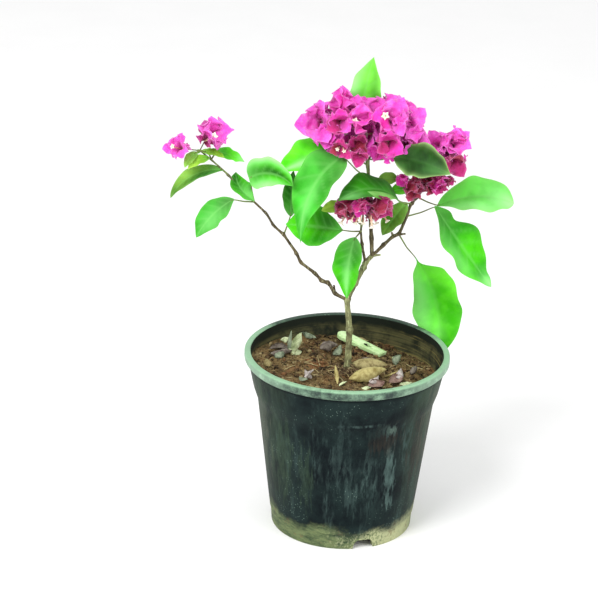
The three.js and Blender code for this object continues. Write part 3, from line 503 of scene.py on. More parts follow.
SOIL_COLOURS = {
    "bed": ((0.02, 0.012, 0.005), (0.14, 0.092, 0.038), (0.34, 0.26, 0.12)),
    "dark": ((0.012, 0.008, 0.004), (0.05, 0.033, 0.016), (0.14, 0.1, 0.05)),
    "pale": ((0.11, 0.085, 0.035), (0.27, 0.21, 0.1), (0.48, 0.41, 0.23)),
    "rust": ((0.07, 0.032, 0.014), (0.16, 0.08, 0.034), (0.28, 0.17, 0.08)),
}
SOIL_RUST = (0.19, 0.088, 0.036)
RUSTY_PATCH = ((-0.029, 0.006, 0.162), (0.017, 0.013, 0.02))
FIBRE_COLOURS = {
    "straw": ((0.3, 0.24, 0.11), (0.5, 0.43, 0.24)),
    "root": ((0.07, 0.042, 0.02), (0.17, 0.11, 0.055)),
    "brown": ((0.14, 0.095, 0.045), (0.32, 0.23, 0.12)),
}
BARK_COLOURS = {
    "old": ((0.1, 0.095, 0.045), (0.26, 0.27, 0.12), (0.52, 0.57, 0.3)),
    "young": ((0.045, 0.034, 0.017), (0.12, 0.092, 0.045), (0.26, 0.24, 0.13)),
    "twig": ((0.07, 0.06, 0.03), (0.16, 0.2, 0.07), (0.3, 0.4, 0.16)),
}
# Each leaf tone: its two greens, how far its veins show, and how far its margin pales. The shaded tone is
# painted shade and the sunny tone painted light.
LEAF_TONES = {
    "fresh": ((0.02, 0.29, 0.006), (0.06, 0.54, 0.035), 0.4, 0.12),
    "grass": ((0.018, 0.3, 0.002), (0.06, 0.53, 0.004), 0.35, 0.12),
    "mint": ((0.042, 0.4, 0.012), (0.13, 0.72, 0.07), 0.35, 0.25),
    "lime": ((0.08, 0.5, 0.015), (0.2, 0.8, 0.07), 0.35, 0.2),
    "dark": ((0.007, 0.11, 0.002), (0.03, 0.27, 0.008), 0.3, 0.15),
    "shaded": ((0.002, 0.02, 0.0005), (0.016, 0.1, 0.001), 0.05, 0.6),
    "sunny": ((0.05, 0.52, 0.004), (0.14, 0.85, 0.02), 0.2, 0.15),
    "olive": ((0.07, 0.19, 0.015), (0.22, 0.45, 0.06), 0.3, 0.3),
    "yellowish": ((0.15, 0.36, 0.015), (0.42, 0.68, 0.08), 0.2, 0.2),
    "under": ((0.12, 0.4, 0.05), (0.24, 0.6, 0.14), 0.2, 0.1),
    "rib": ((0.1, 0.35, 0.05), (0.2, 0.5, 0.1), 0.0, 0.0),
    "petiole": ((0.11, 0.12, 0.035), (0.22, 0.3, 0.1), 0.0, 0.0),
}
LEAF_VEIN = (0.2, 0.58, 0.14)
LEAF_MARGIN = (0.42, 0.68, 0.24)
# The colour of a leaf's pale patches, painted highlight and in places the paler underside, then that of its
# patches of painted shade.
LEAF_PALE = (0.34, 0.9, 0.28)
LEAF_SHADE = (0.006, 0.09, 0.002)
# Bract tones, from light to crimson: the darker tones are painted shade, and each bract's tone strays a
# little at random from its head's.
BRACT_COLOURS = {
    "light": ((0.68, 0.035, 0.4), (0.9, 0.13, 0.66)),
    "magenta": ((0.7, 0.012, 0.32), (0.9, 0.045, 0.54)),
    "deep": ((0.38, 0.009, 0.12), (0.64, 0.024, 0.25)),
    "crimson": ((0.2, 0.01, 0.024), (0.42, 0.026, 0.07)),
}
BRACT_ROOT_SHADE = (0.2, 0.004, 0.045)
BRACT_EDGE_HIGHLIGHT = (0.9, 0.27, 0.68)
FLOWER_COLOURS = {
    "tube": ((0.55, 0.24, 0.2), (0.7, 0.52, 0.34)),
    "star": ((0.75, 0.72, 0.55), (0.88, 0.86, 0.74)),
    "throat": ((0.5, 0.5, 0.2), (0.6, 0.55, 0.3)),
}
LITTER_COLOURS = {
    "tan": ((0.15, 0.11, 0.04), (0.36, 0.31, 0.14)),
    "golden": ((0.22, 0.17, 0.05), (0.47, 0.41, 0.17)),
    "cream": ((0.3, 0.35, 0.18), (0.66, 0.74, 0.46)),
    "grey": ((0.07, 0.09, 0.055), (0.26, 0.31, 0.21)),
    "dusky": ((0.06, 0.045, 0.035), (0.2, 0.17, 0.14)),
    "lilac": ((0.26, 0.22, 0.2), (0.55, 0.5, 0.47)),
    "wine": ((0.11, 0.055, 0.045), (0.32, 0.22, 0.18)),
}
PITH_COLOURS = ((0.42, 0.62, 0.27), (0.68, 0.9, 0.5))
PITH_HOLE = (0.03, 0.045, 0.018)
CANE = dict(
    place=(0.014, 0.064, 0.1804), heading=-30, tilt=11, hole_at=0.0083, hole=(0.0049, 0.0027), ease=0.0007,
)

FLOOR_GREYS = ((0.86, 0.86, 0.86), (0.9, 0.9, 0.9))
LIGHTS = dict(
    sky=0.9, aim=(0, 0, 0.25),
    lamps=dict(key=((-1.2, -1.6, 2.2), 1.4, 60.0), fill=((1.6, -1.2, 1.2), 1.6, 18.0)),
)


def direction(heading, climb):
    """The unit direction of a heading and climb."""
    turn, rise = math.radians(heading), math.radians(climb)
    return np.array((math.cos(rise) * math.cos(turn), math.cos(rise) * math.sin(turn), math.sin(rise)))


def unit(vector):
    return vector / np.linalg.norm(vector)


def turned(vector, axis, angle):
    """A vector turned round a unit axis by an angle in radians."""
    along = axis * np.dot(axis, vector)
    return along + (vector - along) * math.cos(angle) + np.cross(axis, vector) * math.sin(angle)


def chance(index):
    """A repeatable number from 0 to 1 for a number."""
    value = math.sin(index * 127.1 + 311.7) * 43758.5453
    return value - math.floor(value)


def smooth_step(value, low, high):
    share = np.clip((np.asarray(value, float) - low) / (high - low), 0, 1)
    return share * share * (3 - 2 * share)


def bumps(points, size, seed, octaves=2):
    """Even noise from about -1 to 1 at each point, with bumps of a size."""
    return np.array(
        [noise.fractal(Vector(p) / size + Vector((seed, 0, 0)), 0.9, 2.1, octaves) for p in points]
    )


# Closed shapes from rings of points, and the bunches they are joined into.
def loft(rings):
    """A closed surface through rings of points. A ring of one point closes that end."""
    starts = np.cumsum([0] + [len(ring) for ring in rings])
    faces = []
    for lower, upper, a, b in zip(rings, rings[1:], starts, starts[1:]):
        around = max(len(lower), len(upper))
        for i in range(around):
            j = (i + 1) % around
            if len(lower) == 1:
                faces.append((a, b + j, b + i))
            elif len(upper) == 1:
                faces.append((a + i, a + j, b))
            else:
                faces.append((a + i, a + j, b + j, b + i))
    if len(rings[0]) > 1:
        faces.append(tuple(range(starts[1] - 1, starts[0] - 1, -1)))
    if len(rings[-1]) > 1:
        faces.append(tuple(range(starts[-2], starts[-1])))
    return np.vstack(rings), faces


def is_inside_out(points, faces):
    middle = points.mean(0)
    a, b, c = (points[[face[k] for face in faces]] - middle for k in range(3))
    return np.einsum("ij,ij->i", a, np.cross(b, c)).sum() < 0


# The marks of a piece's points. On leaves the pale mark is painted highlight, and in places the paler
# underside, and the last mark is painted shade.
MARKS = ("vein", "edge", "root", "pale", "dim")


class Bunch:
    """Small closed shapes that are joined into one piece. Each face has the number of its finish, and each
    point is marked by how much it lies on a vein, near the edge, near the root, in a pale patch and in a
    patch of painted shade. On leaves the pale patches are painted highlight, and in places the paler
    underside."""

    def __init__(self):
        self.points = []
        self.faces = []
        self.finishes = []
        self.marks = {name: [] for name in MARKS}
        self.count = 0

    def add(self, rings, finish=0, marks=None):
        """Adds a loft of rings. The finish is one number, or one for each face."""
        points, faces = loft(rings)
        if is_inside_out(points, faces):
            faces = [face[::-1] for face in faces]
        self.faces += [tuple(corner + self.count for corner in face) for face in faces]
        self.finishes += [finish] * len(faces) if isinstance(finish, int) else list(finish)
        for name in MARKS:
            self.marks[name].append(marks[name] if marks else np.zeros(len(points)))
        self.points.append(points)
        self.count += len(points)

    def piece(self, name, finishes, slot, *nodes):
        """The joined piece, riding on the part in place of its nodes."""
        mesh = bpy.data.meshes.new(name)
        mesh.from_pydata(np.vstack(self.points), [], self.faces)
        mesh.polygons.foreach_set("material_index", self.finishes)
        for mark, values in self.marks.items():
            layer = mesh.attributes.new(mark, "FLOAT", "POINT")
            layer.data.foreach_set("value", np.concatenate(values))
        made = bpy.data.objects.new(name, mesh)
        bpy.context.scene.collection.objects.link(made)
        mesh.shade_smooth()
        mesh.set_sharp_from_angle(angle=math.radians(50))
        return carry(made, finishes, slot, *nodes)


def carry(piece, finishes, slot, *nodes):
    """Gives a finished piece its materials and its ride, and hides the nodes it stands for. Its slot is not
    used.
    """
    for finish in finishes:
        piece.data.materials.append(finish)
    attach(piece, "root")
    if nodes:
        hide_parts(*nodes)
    return piece


# Materials. Each is a shader with its own pattern of noise in the object's coordinates.
class Finish:
    """A material under construction: its nodes, and short ways to add the usual ones."""

    def __init__(self, name, roughness, sheen=0.0, specular=0.5, glow=0.0):
        self.material = bpy.data.materials.new(name)
        self.material.use_nodes = True
        self.nodes = self.material.node_tree.nodes
        self.links = self.material.node_tree.links
        self.shader = self.nodes["Principled BSDF"]
        self.shader.inputs["Roughness"].default_value = roughness
        self.shader.inputs["Sheen Weight"].default_value = sheen
        self.shader.inputs["Specular IOR Level"].default_value = specular
        self.shader.inputs["Subsurface Weight"].default_value = glow
        self.shader.inputs["Subsurface Radius"].default_value = (1.0, 0.6, 0.8)
        self.shader.inputs["Subsurface Scale"].default_value = 0.002
        self.place = self.nodes.new("ShaderNodeTexCoord").outputs["Object"]

    def stretched(self, scale):
        """The object's coordinates, stretched by a scale for each axis."""
        mapping = self.nodes.new("ShaderNodeMapping")
        mapping.inputs["Scale"].default_value = scale
        self.links.new(self.place, mapping.inputs["Vector"])
        return mapping.outputs["Vector"]

    def speckle(self, scale, detail=4.0, roughness=0.55, place=None):
        """Even noise, of finer grain at a larger scale."""
        made = self.nodes.new("ShaderNodeTexNoise")
        made.inputs["Scale"].default_value = scale
        made.inputs["Detail"].default_value = detail
        made.inputs["Roughness"].default_value = roughness
        self.links.new(place or self.place, made.inputs["Vector"])
        return made.outputs["Fac"]

    def cells(self, scale):
        """Round cells, 0 in their middles."""
        made = self.nodes.new("ShaderNodeTexVoronoi")
        made.inputs["Scale"].default_value = scale
        self.links.new(self.place, made.inputs["Vector"])
        return made.outputs["Distance"]

    def axis(self, name):
        """How far a place lies along X, Y or Z."""
        made = self.nodes.new("ShaderNodeSeparateXYZ")
        self.links.new(self.place, made.inputs["Vector"])
        return made.outputs[name]

    def side(self):
        """How far a place lies to the left or right of the middle."""
        return self.joined("ABSOLUTE", self.axis("X"), 0.0)

    def patch(self, middle, reach, raggedness):
        """A patch round a place, 1 in its middle and 0 outside, its edge made ragged by another value."""
        mapping = self.nodes.new("ShaderNodeMapping")
        mapping.inputs["Scale"].default_value = [1 / r for r in reach]
        mapping.inputs["Location"].default_value = [-m / r for m, r in zip(middle, reach)]
        self.links.new(self.place, mapping.inputs["Vector"])
        away = self.nodes.new("ShaderNodeVectorMath")
        away.operation = "LENGTH"
        self.links.new(mapping.outputs["Vector"], away.inputs[0])
        ragged = self.plus(away.outputs["Value"], self.eased(raggedness, 0.3, 0.7, 0.6, -0.6))
        return self.eased(ragged, 1.0, 0.45)

    def attribute(self, name):
        """A mark of the piece's points."""
        made = self.nodes.new("ShaderNodeAttribute")
        made.attribute_name = name
        return made.outputs["Fac"]

    def eased(self, value, low, high, start=0.0, end=1.0):
        """A value taken smoothly from one range to another."""
        made = self.nodes.new("ShaderNodeMapRange")
        made.interpolation_type = "SMOOTHSTEP"
        for name, number in zip(("From Min", "From Max", "To Min", "To Max"), (low, high, start, end)):
            made.inputs[name].default_value = number
        self.links.new(value, made.inputs["Value"])
        return made.outputs["Result"]

    def times(self, first, second):
        return self.joined("MULTIPLY", first, second)

    def plus(self, first, second):
        return self.joined("ADD", first, second)

    def joined(self, kind, first, second):
        """Two values joined by one operation of the Math node."""
        made = self.nodes.new("ShaderNodeMath")
        made.operation = kind
        for socket, value in zip(made.inputs, (first, second)):
            if isinstance(value, float):
                socket.default_value = value
            else:
                self.links.new(value, socket)
        return made.outputs[0]

    def mixed(self, share, first, second):
        """Two colours mixed by a share. A colour is a tuple or another node's output."""
        made = self.nodes.new("ShaderNodeMix")
        made.data_type = "RGBA"
        self.links.new(share, made.inputs["Factor"])
        for socket, colour in zip((made.inputs[6], made.inputs[7]), (first, second)):
            if isinstance(colour, tuple):
                socket.default_value = (*colour, 1)
            else:
                self.links.new(colour, socket)
        return made.outputs[2]

    def base(self, share, first, second):
        """The finish's own colour, mixed from two by a share."""
        self.colour = self.mixed(share, first, second)
        self.links.new(self.colour, self.shader.inputs["Base Color"])

    def over(self, share, colour):
        """Lays another colour over the finish's own by a share."""
        self.base(share, self.colour, colour)

    def rough(self, value):
        self.links.new(value, self.shader.inputs["Roughness"])

    def relief(self, height, depth, strength, under=None):
        """A bump of a depth in metres, over another bump if there is one."""
        made = self.nodes.new("ShaderNodeBump")
        made.inputs["Distance"].default_value = depth
        made.inputs["Strength"].default_value = strength
        self.links.new(height, made.inputs["Height"])
        if under:
            self.links.new(under, made.inputs["Normal"])
        self.links.new(made.outputs["Normal"], self.shader.inputs["Normal"])
        return made.outputs["Normal"]


def pot_finish():
    """Weathered black plastic: thin dusty streaks, algae at the sides, a few runs and stains, a painted
    highlight along the ledge of the shoulder, painted shadow under the lip, and a foot band of dried-on soil
    that climbs higher at the sides."""
    finish = Finish("weathered plastic", 0.6, specular=0.06)
    streaks = finish.speckle(1.0, 6.0, 0.6, finish.stretched((75, 75, 9)))
    fine = finish.speckle(1.0, 4.0, 0.7, finish.stretched((330, 330, 60)))
    clouds = finish.speckle(26.0, 6.0, 0.65)
    grains = finish.speckle(420.0, 3.0, 0.7)
    height = finish.axis("Z")
    side = finish.side()
    finish.base(finish.eased(clouds, 0.35, 0.7), POT_COLOURS["plastic"], POT_COLOURS["faded"])
    growth = finish.times(finish.eased(side, *POT_SIDES["algae"]), finish.eased(streaks, 0.3, 0.6, 0.1, 0.85))
    growth = finish.times(growth, finish.eased(finish.axis("Y"), -0.045, 0.01, 1.0, 0.4))
    finish.over(growth, POT_COLOURS["algae"])
    dusty = finish.times(finish.eased(streaks, 0.47, 0.72, 0.0, 0.65), finish.eased(fine, 0.38, 0.66))
    dusty = finish.times(dusty, finish.eased(height, *POT_LEVELS["shoulder"], 1.0, 0.3))
    finish.over(dusty, POT_COLOURS["dust_and_highlight"])
    runs = finish.speckle(1.0, 5.0, 0.7, finish.stretched((240, 240, 24)))
    for middle, reach, tint, strength in POT_PATCHES:
        spot = finish.times(finish.patch(middle, reach, runs), finish.eased(fine, 0.25, 0.7, 0.2, 1.0))
        finish.over(finish.times(spot, strength), POT_COLOURS[tint])
    # Painted highlight along the ledge of the shoulder, in the same pale colour as the dusty streaks.
    finish.over(painted_ledge_highlight(finish, height, clouds, fine), POT_COLOURS["dust_and_highlight"])
    specks = finish.eased(finish.cells(420.0), 0.2, 0.05)
    scattered = finish.times(specks, finish.eased(clouds, 0.52, 0.64))
    finish.over(scattered, POT_COLOURS["speck"])
    raised = finish.plus(height, finish.eased(side, *POT_SIDES["foot"], 0.0, -0.007))
    ragged = finish.plus(raised, finish.eased(clouds, 0.25, 0.75, -0.009, 0.009))
    foot_share = finish.eased(ragged, *POT_LEVELS["soiled_foot"])
    finish.over(foot_share, foot_colour(finish, grains))
    # Painted shadow under the overhanging lip: bare dark plastic over a band just below it.
    painted_lip_shadow = finish.eased(height, *POT_LEVELS["under_lip"], 0.0, 0.85)
    finish.over(painted_lip_shadow, POT_COLOURS["plastic"])
    finish.rough(finish.eased(dusty, 0.0, 0.6, 0.5, 0.8))
    finish.relief(grains, 0.00035, 0.5, finish.relief(fine, 0.0003, 0.5))
    return finish.material


def painted_ledge_highlight(finish, height, clouds, fine):
    """How strongly the painted highlight along the ledge of the shoulder shows, most at the front."""
    ledge = finish.eased(height, *POT_LEVELS["ledge_foot"])
    ledge = finish.times(ledge, finish.eased(height, *POT_LEVELS["ledge_top"]))
    ledge = finish.times(ledge, finish.patch(*PAINTED_LEDGE_HIGHLIGHT, clouds))
    return finish.times(ledge, finish.eased(fine, 0.35, 0.65, 0.0, 0.7))


def foot_colour(finish, grains):
    """The soil that dried on the foot: dark and green blotches, paler in front on the right, with rusty
    spots."""
    blotches = finish.speckle(1.0, 5.0, 0.75, finish.stretched((60, 60, 190)))
    colour = finish.mixed(finish.eased(blotches, 0.3, 0.62), POT_COLOURS["foot_dark"], POT_COLOURS["foot"])
    right = finish.plus(finish.axis("X"), finish.eased(grains, 0.35, 0.7, -0.03, 0.03))
    front = finish.eased(finish.axis("Y"), -0.05, 0.0, 1.0, 0.15)
    pale = finish.times(finish.eased(right, -0.01, 0.045, 0.0, 0.85), front)
    colour = finish.mixed(pale, colour, POT_COLOURS["foot_pale"])
    rusty = finish.eased(finish.speckle(90.0, 4.0, 0.7), 0.56, 0.68, 0.0, 0.6)
    return finish.mixed(rusty, colour, POT_COLOURS["foot_rust"])


def lip_finish():
    """The faded lip: green-grey on its face, paler towards the left and right, with a painted highlight on
    its rounded top, and darker towards the back."""
    finish = Finish("faded lip", 0.55, specular=0.3)
    clouds = finish.speckle(70.0, 6.0, 0.7)
    fine = finish.speckle(480.0, 3.0, 0.6)
    side = finish.side()
    finish.base(finish.eased(clouds, 0.56, 0.38), POT_COLOURS["lip"], POT_COLOURS["lip_dark"])
    # Paler towards the left and right.
    paler_sides = finish.eased(side, *POT_SIDES["lip"], 0.0, 0.7)
    paler_sides = finish.plus(paler_sides, finish.eased(clouds, 0.52, 0.68, 0.0, 0.6))
    finish.over(paler_sides, POT_COLOURS["lip_light"])
    # Painted highlight on the rounded top of the lip.
    top = finish.eased(finish.axis("Z"), *POT_LEVELS["lip_top"])
    top = finish.times(top, finish.eased(clouds, 0.3, 0.5, 0.45, 1.0))
    finish.over(top, POT_COLOURS["lip_top"])
    # Darker towards the back.
    darker_back = finish.plus(finish.axis("Y"), finish.eased(clouds, 0.3, 0.7, -0.012, 0.012))
    finish.over(finish.eased(darker_back, 0.035, 0.075, 0.0, 0.9), POT_COLOURS["lip_dark"])
    finish.over(finish.eased(fine, 0.58, 0.78, 0.0, 0.5), POT_COLOURS["lip_light"])
    finish.relief(fine, 0.0003, 0.6)
    return finish.material


def inside_finish():
    """The inner wall above the soil: brown tide lines of old soil, and painted shade under the lip."""
    finish = Finish("soiled inner wall", 0.75, specular=0.2)
    lines = finish.speckle(1.0, 4.0, 0.6, finish.stretched((11, 11, 520)))
    clouds = finish.speckle(60.0, 5.0, 0.6)
    finish.base(finish.eased(clouds, 0.3, 0.65), POT_COLOURS["inside_dark"], POT_COLOURS["inside"])
    right = finish.eased(finish.axis("X"), -0.02, 0.06, 0.3, 1.0)
    golden = finish.times(finish.eased(lines, 0.52, 0.7), right)
    finish.over(golden, POT_COLOURS["inside_light"])
    finish.over(finish.eased(lines, 0.46, 0.3), POT_COLOURS["inside_dark"])
    # Painted shade high on the inner wall, under the lip.
    rim = finish.plus(finish.axis("Z"), finish.eased(clouds, 0.3, 0.7, -0.002, 0.002))
    shaded = finish.eased(rim, *POT_LEVELS["inner_rim"])
    finish.over(shaded, POT_COLOURS["inside_dark"])
    finish.relief(clouds, 0.0005, 0.7)
    return finish.material


def soil_finish(name, dark, middle, light):
    """Dry brown soil: rusty and golden patches, pale grains, and painted shade in the hollows of its bumps.
    """
    finish = Finish(name, 0.95, specular=0.15)
    clouds = finish.speckle(42.0, 6.0, 0.7)
    rust = finish.speckle(31.0, 4.0, 0.6, finish.stretched((1.3, 1, 1)))
    grains = finish.speckle(520.0, 4.0, 0.75)
    clods = finish.speckle(170.0, 4.0, 0.65)
    finish.base(finish.eased(rust, 0.5, 0.66, 0.0, 0.75), middle, SOIL_RUST)
    finish.over(finish.patch(*RUSTY_PATCH, clods), SOIL_RUST)
    finish.over(finish.eased(clouds, 0.5, 0.68, 0.0, 0.6), light)
    # Painted shade in the hollows: darker where the clods that raise the bumps are low.
    finish.over(finish.eased(clods, 0.5, 0.36), dark)
    finish.over(finish.eased(grains, 0.54, 0.68, 0.0, 0.85), light)
    # Painted shade in the fine hollows between the grains.
    finish.over(finish.eased(grains, 0.43, 0.32), dark)
    finish.relief(grains, 0.0011, 1.0, finish.relief(clods, 0.003, 0.8))
    return finish.material


def bark_finish(name, dark, middle, light):
    """Grey-brown bark with pale lenticels and darker cracks, streaked along the limb."""
    finish = Finish(name, 0.8, specular=0.3)
    streaks = finish.speckle(1.0, 4.0, 0.6, finish.stretched((700, 700, 120)))
    clouds = finish.speckle(95.0, 4.0, 0.6)
    finish.base(finish.eased(clouds, 0.35, 0.65), dark, middle)
    finish.over(finish.eased(streaks, 0.5, 0.7), light)
    finish.over(finish.eased(streaks, 0.42, 0.28), dark)
    finish.relief(streaks, 0.0004, 0.8)
    return finish.material


def leaf_finish(name, deep, fresh, vein, margin):
    """A leaf's face: two greens in broad soft clouds, with patches of painted shade and painted highlight,
    paler along the veins and at the margin, waxy.
    """
    finish = Finish(name, 0.5, specular=0.06)
    broad = finish.speckle(24.0, 2.0, 0.5)
    clouds = finish.speckle(90.0, 3.0, 0.5)
    cells = finish.speckle(900.0, 2.0, 0.5)
    blend = finish.plus(finish.eased(broad, 0.36, 0.64), finish.eased(clouds, 0.3, 0.7, -0.2, 0.2))
    finish.base(blend, deep, fresh)
    # Patches of painted shade, then of painted highlight.
    finish.over(finish.attribute("dim"), LEAF_SHADE)
    finish.over(finish.attribute("pale"), LEAF_PALE)
    finish.over(finish.times(finish.attribute("vein"), vein), LEAF_VEIN)
    finish.over(finish.times(finish.attribute("root"), 0.5), LEAF_VEIN)
    edge = finish.times(finish.attribute("edge"), margin)
    finish.over(edge, LEAF_MARGIN)
    finish.relief(cells, 0.00012, 0.5)
    return finish.material


def bract_finish(name, deep, bright):
    """Papery bract: netted with fine veins, with painted shade at its root and a painted highlight along its
    thin edge.
    """
    finish = Finish(name, 0.6, sheen=0.2, specular=0.22, glow=0.35)
    clouds = finish.speckle(110.0, 4.0, 0.6)
    net = finish.cells(420.0)
    finish.base(finish.eased(clouds, 0.3, 0.7), deep, bright)
    finish.over(finish.times(finish.attribute("vein"), 0.4), deep)
    # Painted highlight along the bract's thin edge.
    finish.over(finish.times(finish.attribute("edge"), 0.3), BRACT_EDGE_HIGHLIGHT)
    # Painted shade at the bract's root, deep inside the head.
    finish.over(finish.attribute("root"), BRACT_ROOT_SHADE)
    finish.relief(net, 0.0005, 0.6, finish.relief(clouds, 0.0012, 0.6))
    return finish.material


def plain_finish(name, first, second, roughness, scale=160.0):
    """Two near colours in fine clouds, for small things."""
    finish = Finish(name, roughness, specular=0.3)
    clouds = finish.speckle(scale, 4.0, 0.6)
    finish.base(finish.eased(clouds, 0.35, 0.65), first, second)
    finish.relief(clouds, 0.0003, 0.5)
    return finish.material


# The pot, modelled from an open circle that is extruded ring by ring.
def wall_radius(height):
    """The radius of the outer wall at a height: a plain taper, a flared shoulder and a steeper top."""
    low, high = POT["shoulder"]
    tapered = POT["foot_radius"] + POT["wall_slope"] * min(height, low)
    if height < low:
        return tapered
    flared = tapered + POT["shoulder_slope"] * (min(height, high) - low)
    if height < high:
        return flared
    return flared + (POT["lip_wall"] - flared) * (height - high) / (POT["lip_from"] - high)


def arc(centre, radius, first, last, steps=4):
    """Points of a profile along an arc, its angles measured from straight outwards."""
    angles = np.radians(np.linspace(first, last, steps + 1))
    return [(centre[0] + radius * math.cos(a), centre[1] + radius * math.sin(a)) for a in angles]


def pot_profile():
    """Radius and height of each ring: the flat disc, the channel, up the outside, over the lip and down."""
    foot, top, wall = POT["foot_radius"], POT["height"], POT["wall"]
    channel, ring, disc = POT["channel_height"], POT["ring_width"], POT["disc_radius"]
    band, step, lip_from = POT["foot_band"], POT["foot_step"], POT["lip_from"]
    low, high = POT["shoulder"]
    lip, outer = POT["lip_round"], POT["lip_radius"]
    ease, crown = POT["foot_round"], POT["rim_round"]

    def inside(level):
        return wall_radius(level) - wall

    walls = [band + 2 * step + (low - band - 2 * step) * k / 12 for k in range(1, 12)]
    shoulder = [low + (high - low) * share for share in (0, 0.12, 0.5, 0.9, 1.1)]
    sides = [high + (lip_from - high) * k / 5 for k in range(2, 6)]
    return [
        (disc, 0),
        (disc + POT["disc_lean"], channel),
        (foot - ring - 0.001, channel),
        (foot - ring, 0),
        *arc((foot - ease, ease), ease, -90, 0),
        (wall_radius(band) - step, band),
        (wall_radius(band + step), band + step),
        *[(wall_radius(level), level) for level in walls + shoulder + sides],
        (outer - POT["lip_step"], lip_from + 0.0002),
        *arc((outer - lip, lip_from + lip), lip, -60, 0),
        *arc((outer - crown, top - crown), crown, 0, 90),
        *arc((inside(lip_from) + crown, top - crown), crown, 90, 180),
        *[(inside(level), level) for level in (lip_from, SOIL["top"], high, low)],
        (inside(channel + POT["floor"]), channel + POT["floor"]),
        (disc + POT["disc_lean"] - wall, channel + POT["floor"]),
        (disc - wall, POT["floor"]),
    ]


def start_piece():
    """Nothing selected and object mode, so that the next primitive stands alone."""
    if bpy.context.object and bpy.context.object.mode != "OBJECT":
        bpy.ops.object.mode_set(mode="OBJECT")
    bpy.ops.object.select_all(action="DESELECT")


def smooth(piece, angle):
    """Smooth shading, but sharp where faces meet at more than an angle."""
    start_piece()
    piece.select_set(True)
    bpy.context.view_layer.objects.active = piece
    bpy.ops.object.shade_smooth_by_angle(angle=math.radians(angle))


def turned_shell(name, profile, sides):
    """A shell turned round the Z axis: an open circle, extruded and resized through the profile, with both
    ends filled."""
    start_piece()
    radius, height = profile[0]
    bpy.ops.mesh.primitive_circle_add(vertices=sides, radius=radius, location=(0, 0, height))
    shell = bpy.context.object
    shell.name = name
    bpy.ops.object.transform_apply()
    bpy.ops.object.mode_set(mode="EDIT")
    bpy.ops.mesh.select_all(action="SELECT")
    for (radius, height), (wider, higher) in zip(profile, profile[1:]):
        bpy.ops.mesh.extrude_edges_move(TRANSFORM_OT_translate={"value": (0, 0, higher - height)})
        grown = wider / radius
        bpy.ops.transform.resize(value=(grown, grown, 1), center_override=(0, 0, higher))
    bpy.ops.mesh.edge_face_add()
    bpy.ops.mesh.select_all(action="SELECT")
    bpy.ops.mesh.fill_holes(sides=0)
    bpy.ops.mesh.remove_doubles(threshold=1e-6)
    bpy.ops.mesh.normals_make_consistent(inside=False)
    bpy.ops.object.mode_set(mode="OBJECT")
    return shell


def cut_away(piece, cutter):
    """Cuts the cutter's shape out of a piece and removes the cutter."""
    cut = piece.modifiers.new("cut", "BOOLEAN")
    cut.operation = "DIFFERENCE"
    cut.solver = "EXACT"
    cut.object = cutter
    bpy.context.view_layer.objects.active = piece
    bpy.ops.object.modifier_apply(modifier="cut")
    bpy.data.objects.remove(cutter)


def notch_cutter(heading):
    """A tapered block, its two upper corners rounded, that cuts one notch through the foot ring. Its inset is
    how far its middle lies within the ring's edge, and how far its foot lies under the ground."""
    start_piece()
    inset = NOTCHES["inset"]
    tall = NOTCHES["height"] + inset
    middle = (POT["foot_radius"] - inset, 0, tall / 2 - inset)
    bpy.ops.mesh.primitive_cube_add(size=1, location=middle)
    cutter = bpy.context.object
    cutter.scale = (NOTCHES["deep"], NOTCHES["foot_width"], tall)
    bpy.ops.object.transform_apply(location=True, rotation=False, scale=True)
    for corner in cutter.data.vertices:
        if corner.co.z > 0:
            corner.co.y *= NOTCHES["top_width"] / NOTCHES["foot_width"]
    arch = cutter.modifiers.new("arch", "BEVEL")
    arch.width = NOTCHES["round"]
    arch.segments = 5
    arch.limit_method = "WEIGHT"
    weights = cutter.data.attributes.new("bevel_weight_edge", "FLOAT", "EDGE")
    for edge in cutter.data.edges:
        ends = [cutter.data.vertices[v].co for v in edge.vertices]
        is_top = all(end.z > 0 for end in ends)
        is_radial = abs(ends[0].y - ends[1].y) < 1e-6
        weights.data[edge.index].value = float(is_top and is_radial)
    bpy.ops.object.modifier_apply(modifier="arch")
    cutter.rotation_euler = (0, 0, math.radians(heading))
    bpy.ops.object.transform_apply()
    return cutter


def drain_cutter(turn):
    """A peg that cuts one round drain hole through the raised channel."""
    start_piece()
    place = (DRAINS["at"] * math.cos(turn), DRAINS["at"] * math.sin(turn), POT["channel_height"])
    bpy.ops.mesh.primitive_cylinder_add(
        vertices=32, radius=DRAINS["radius"], depth=DRAINS["deep"], location=place
    )
    bpy.ops.object.transform_apply()
    return bpy.context.object


def build_pot():
    """The nursery pot, with its notches, drain holes and three finishes."""
    pot = turned_shell("nursery_pot", pot_profile(), POT["sides"])
    for k in range(NOTCHES["count"]):
        cut_away(pot, notch_cutter(NOTCHES["heading"] + 360 * k / NOTCHES["count"]))
    for k in range(DRAINS["count"]):
        cut_away(pot, drain_cutter(2 * math.pi * (k + 0.5) / DRAINS["count"]))
    pot.data.materials.clear()
    carry(pot, [pot_finish(), lip_finish(), inside_finish()], "pot", "pot")
    for face in pot.data.polygons:
        middle = face.center
        reach = math.hypot(middle.x, middle.y)
        is_inner = reach < wall_radius(middle.z) - POT["wall"] / 2 and middle.z > POT["channel_height"]
        if middle.z > POT["lip_from"] - 1e-5 and reach > wall_radius(POT["lip_from"]) - POT["wall"] + 1e-4:
            face.material_index = 1
        elif is_inner:
            face.material_index = 2
        else:
            face.material_index = 0
    smooth(pot, 32)


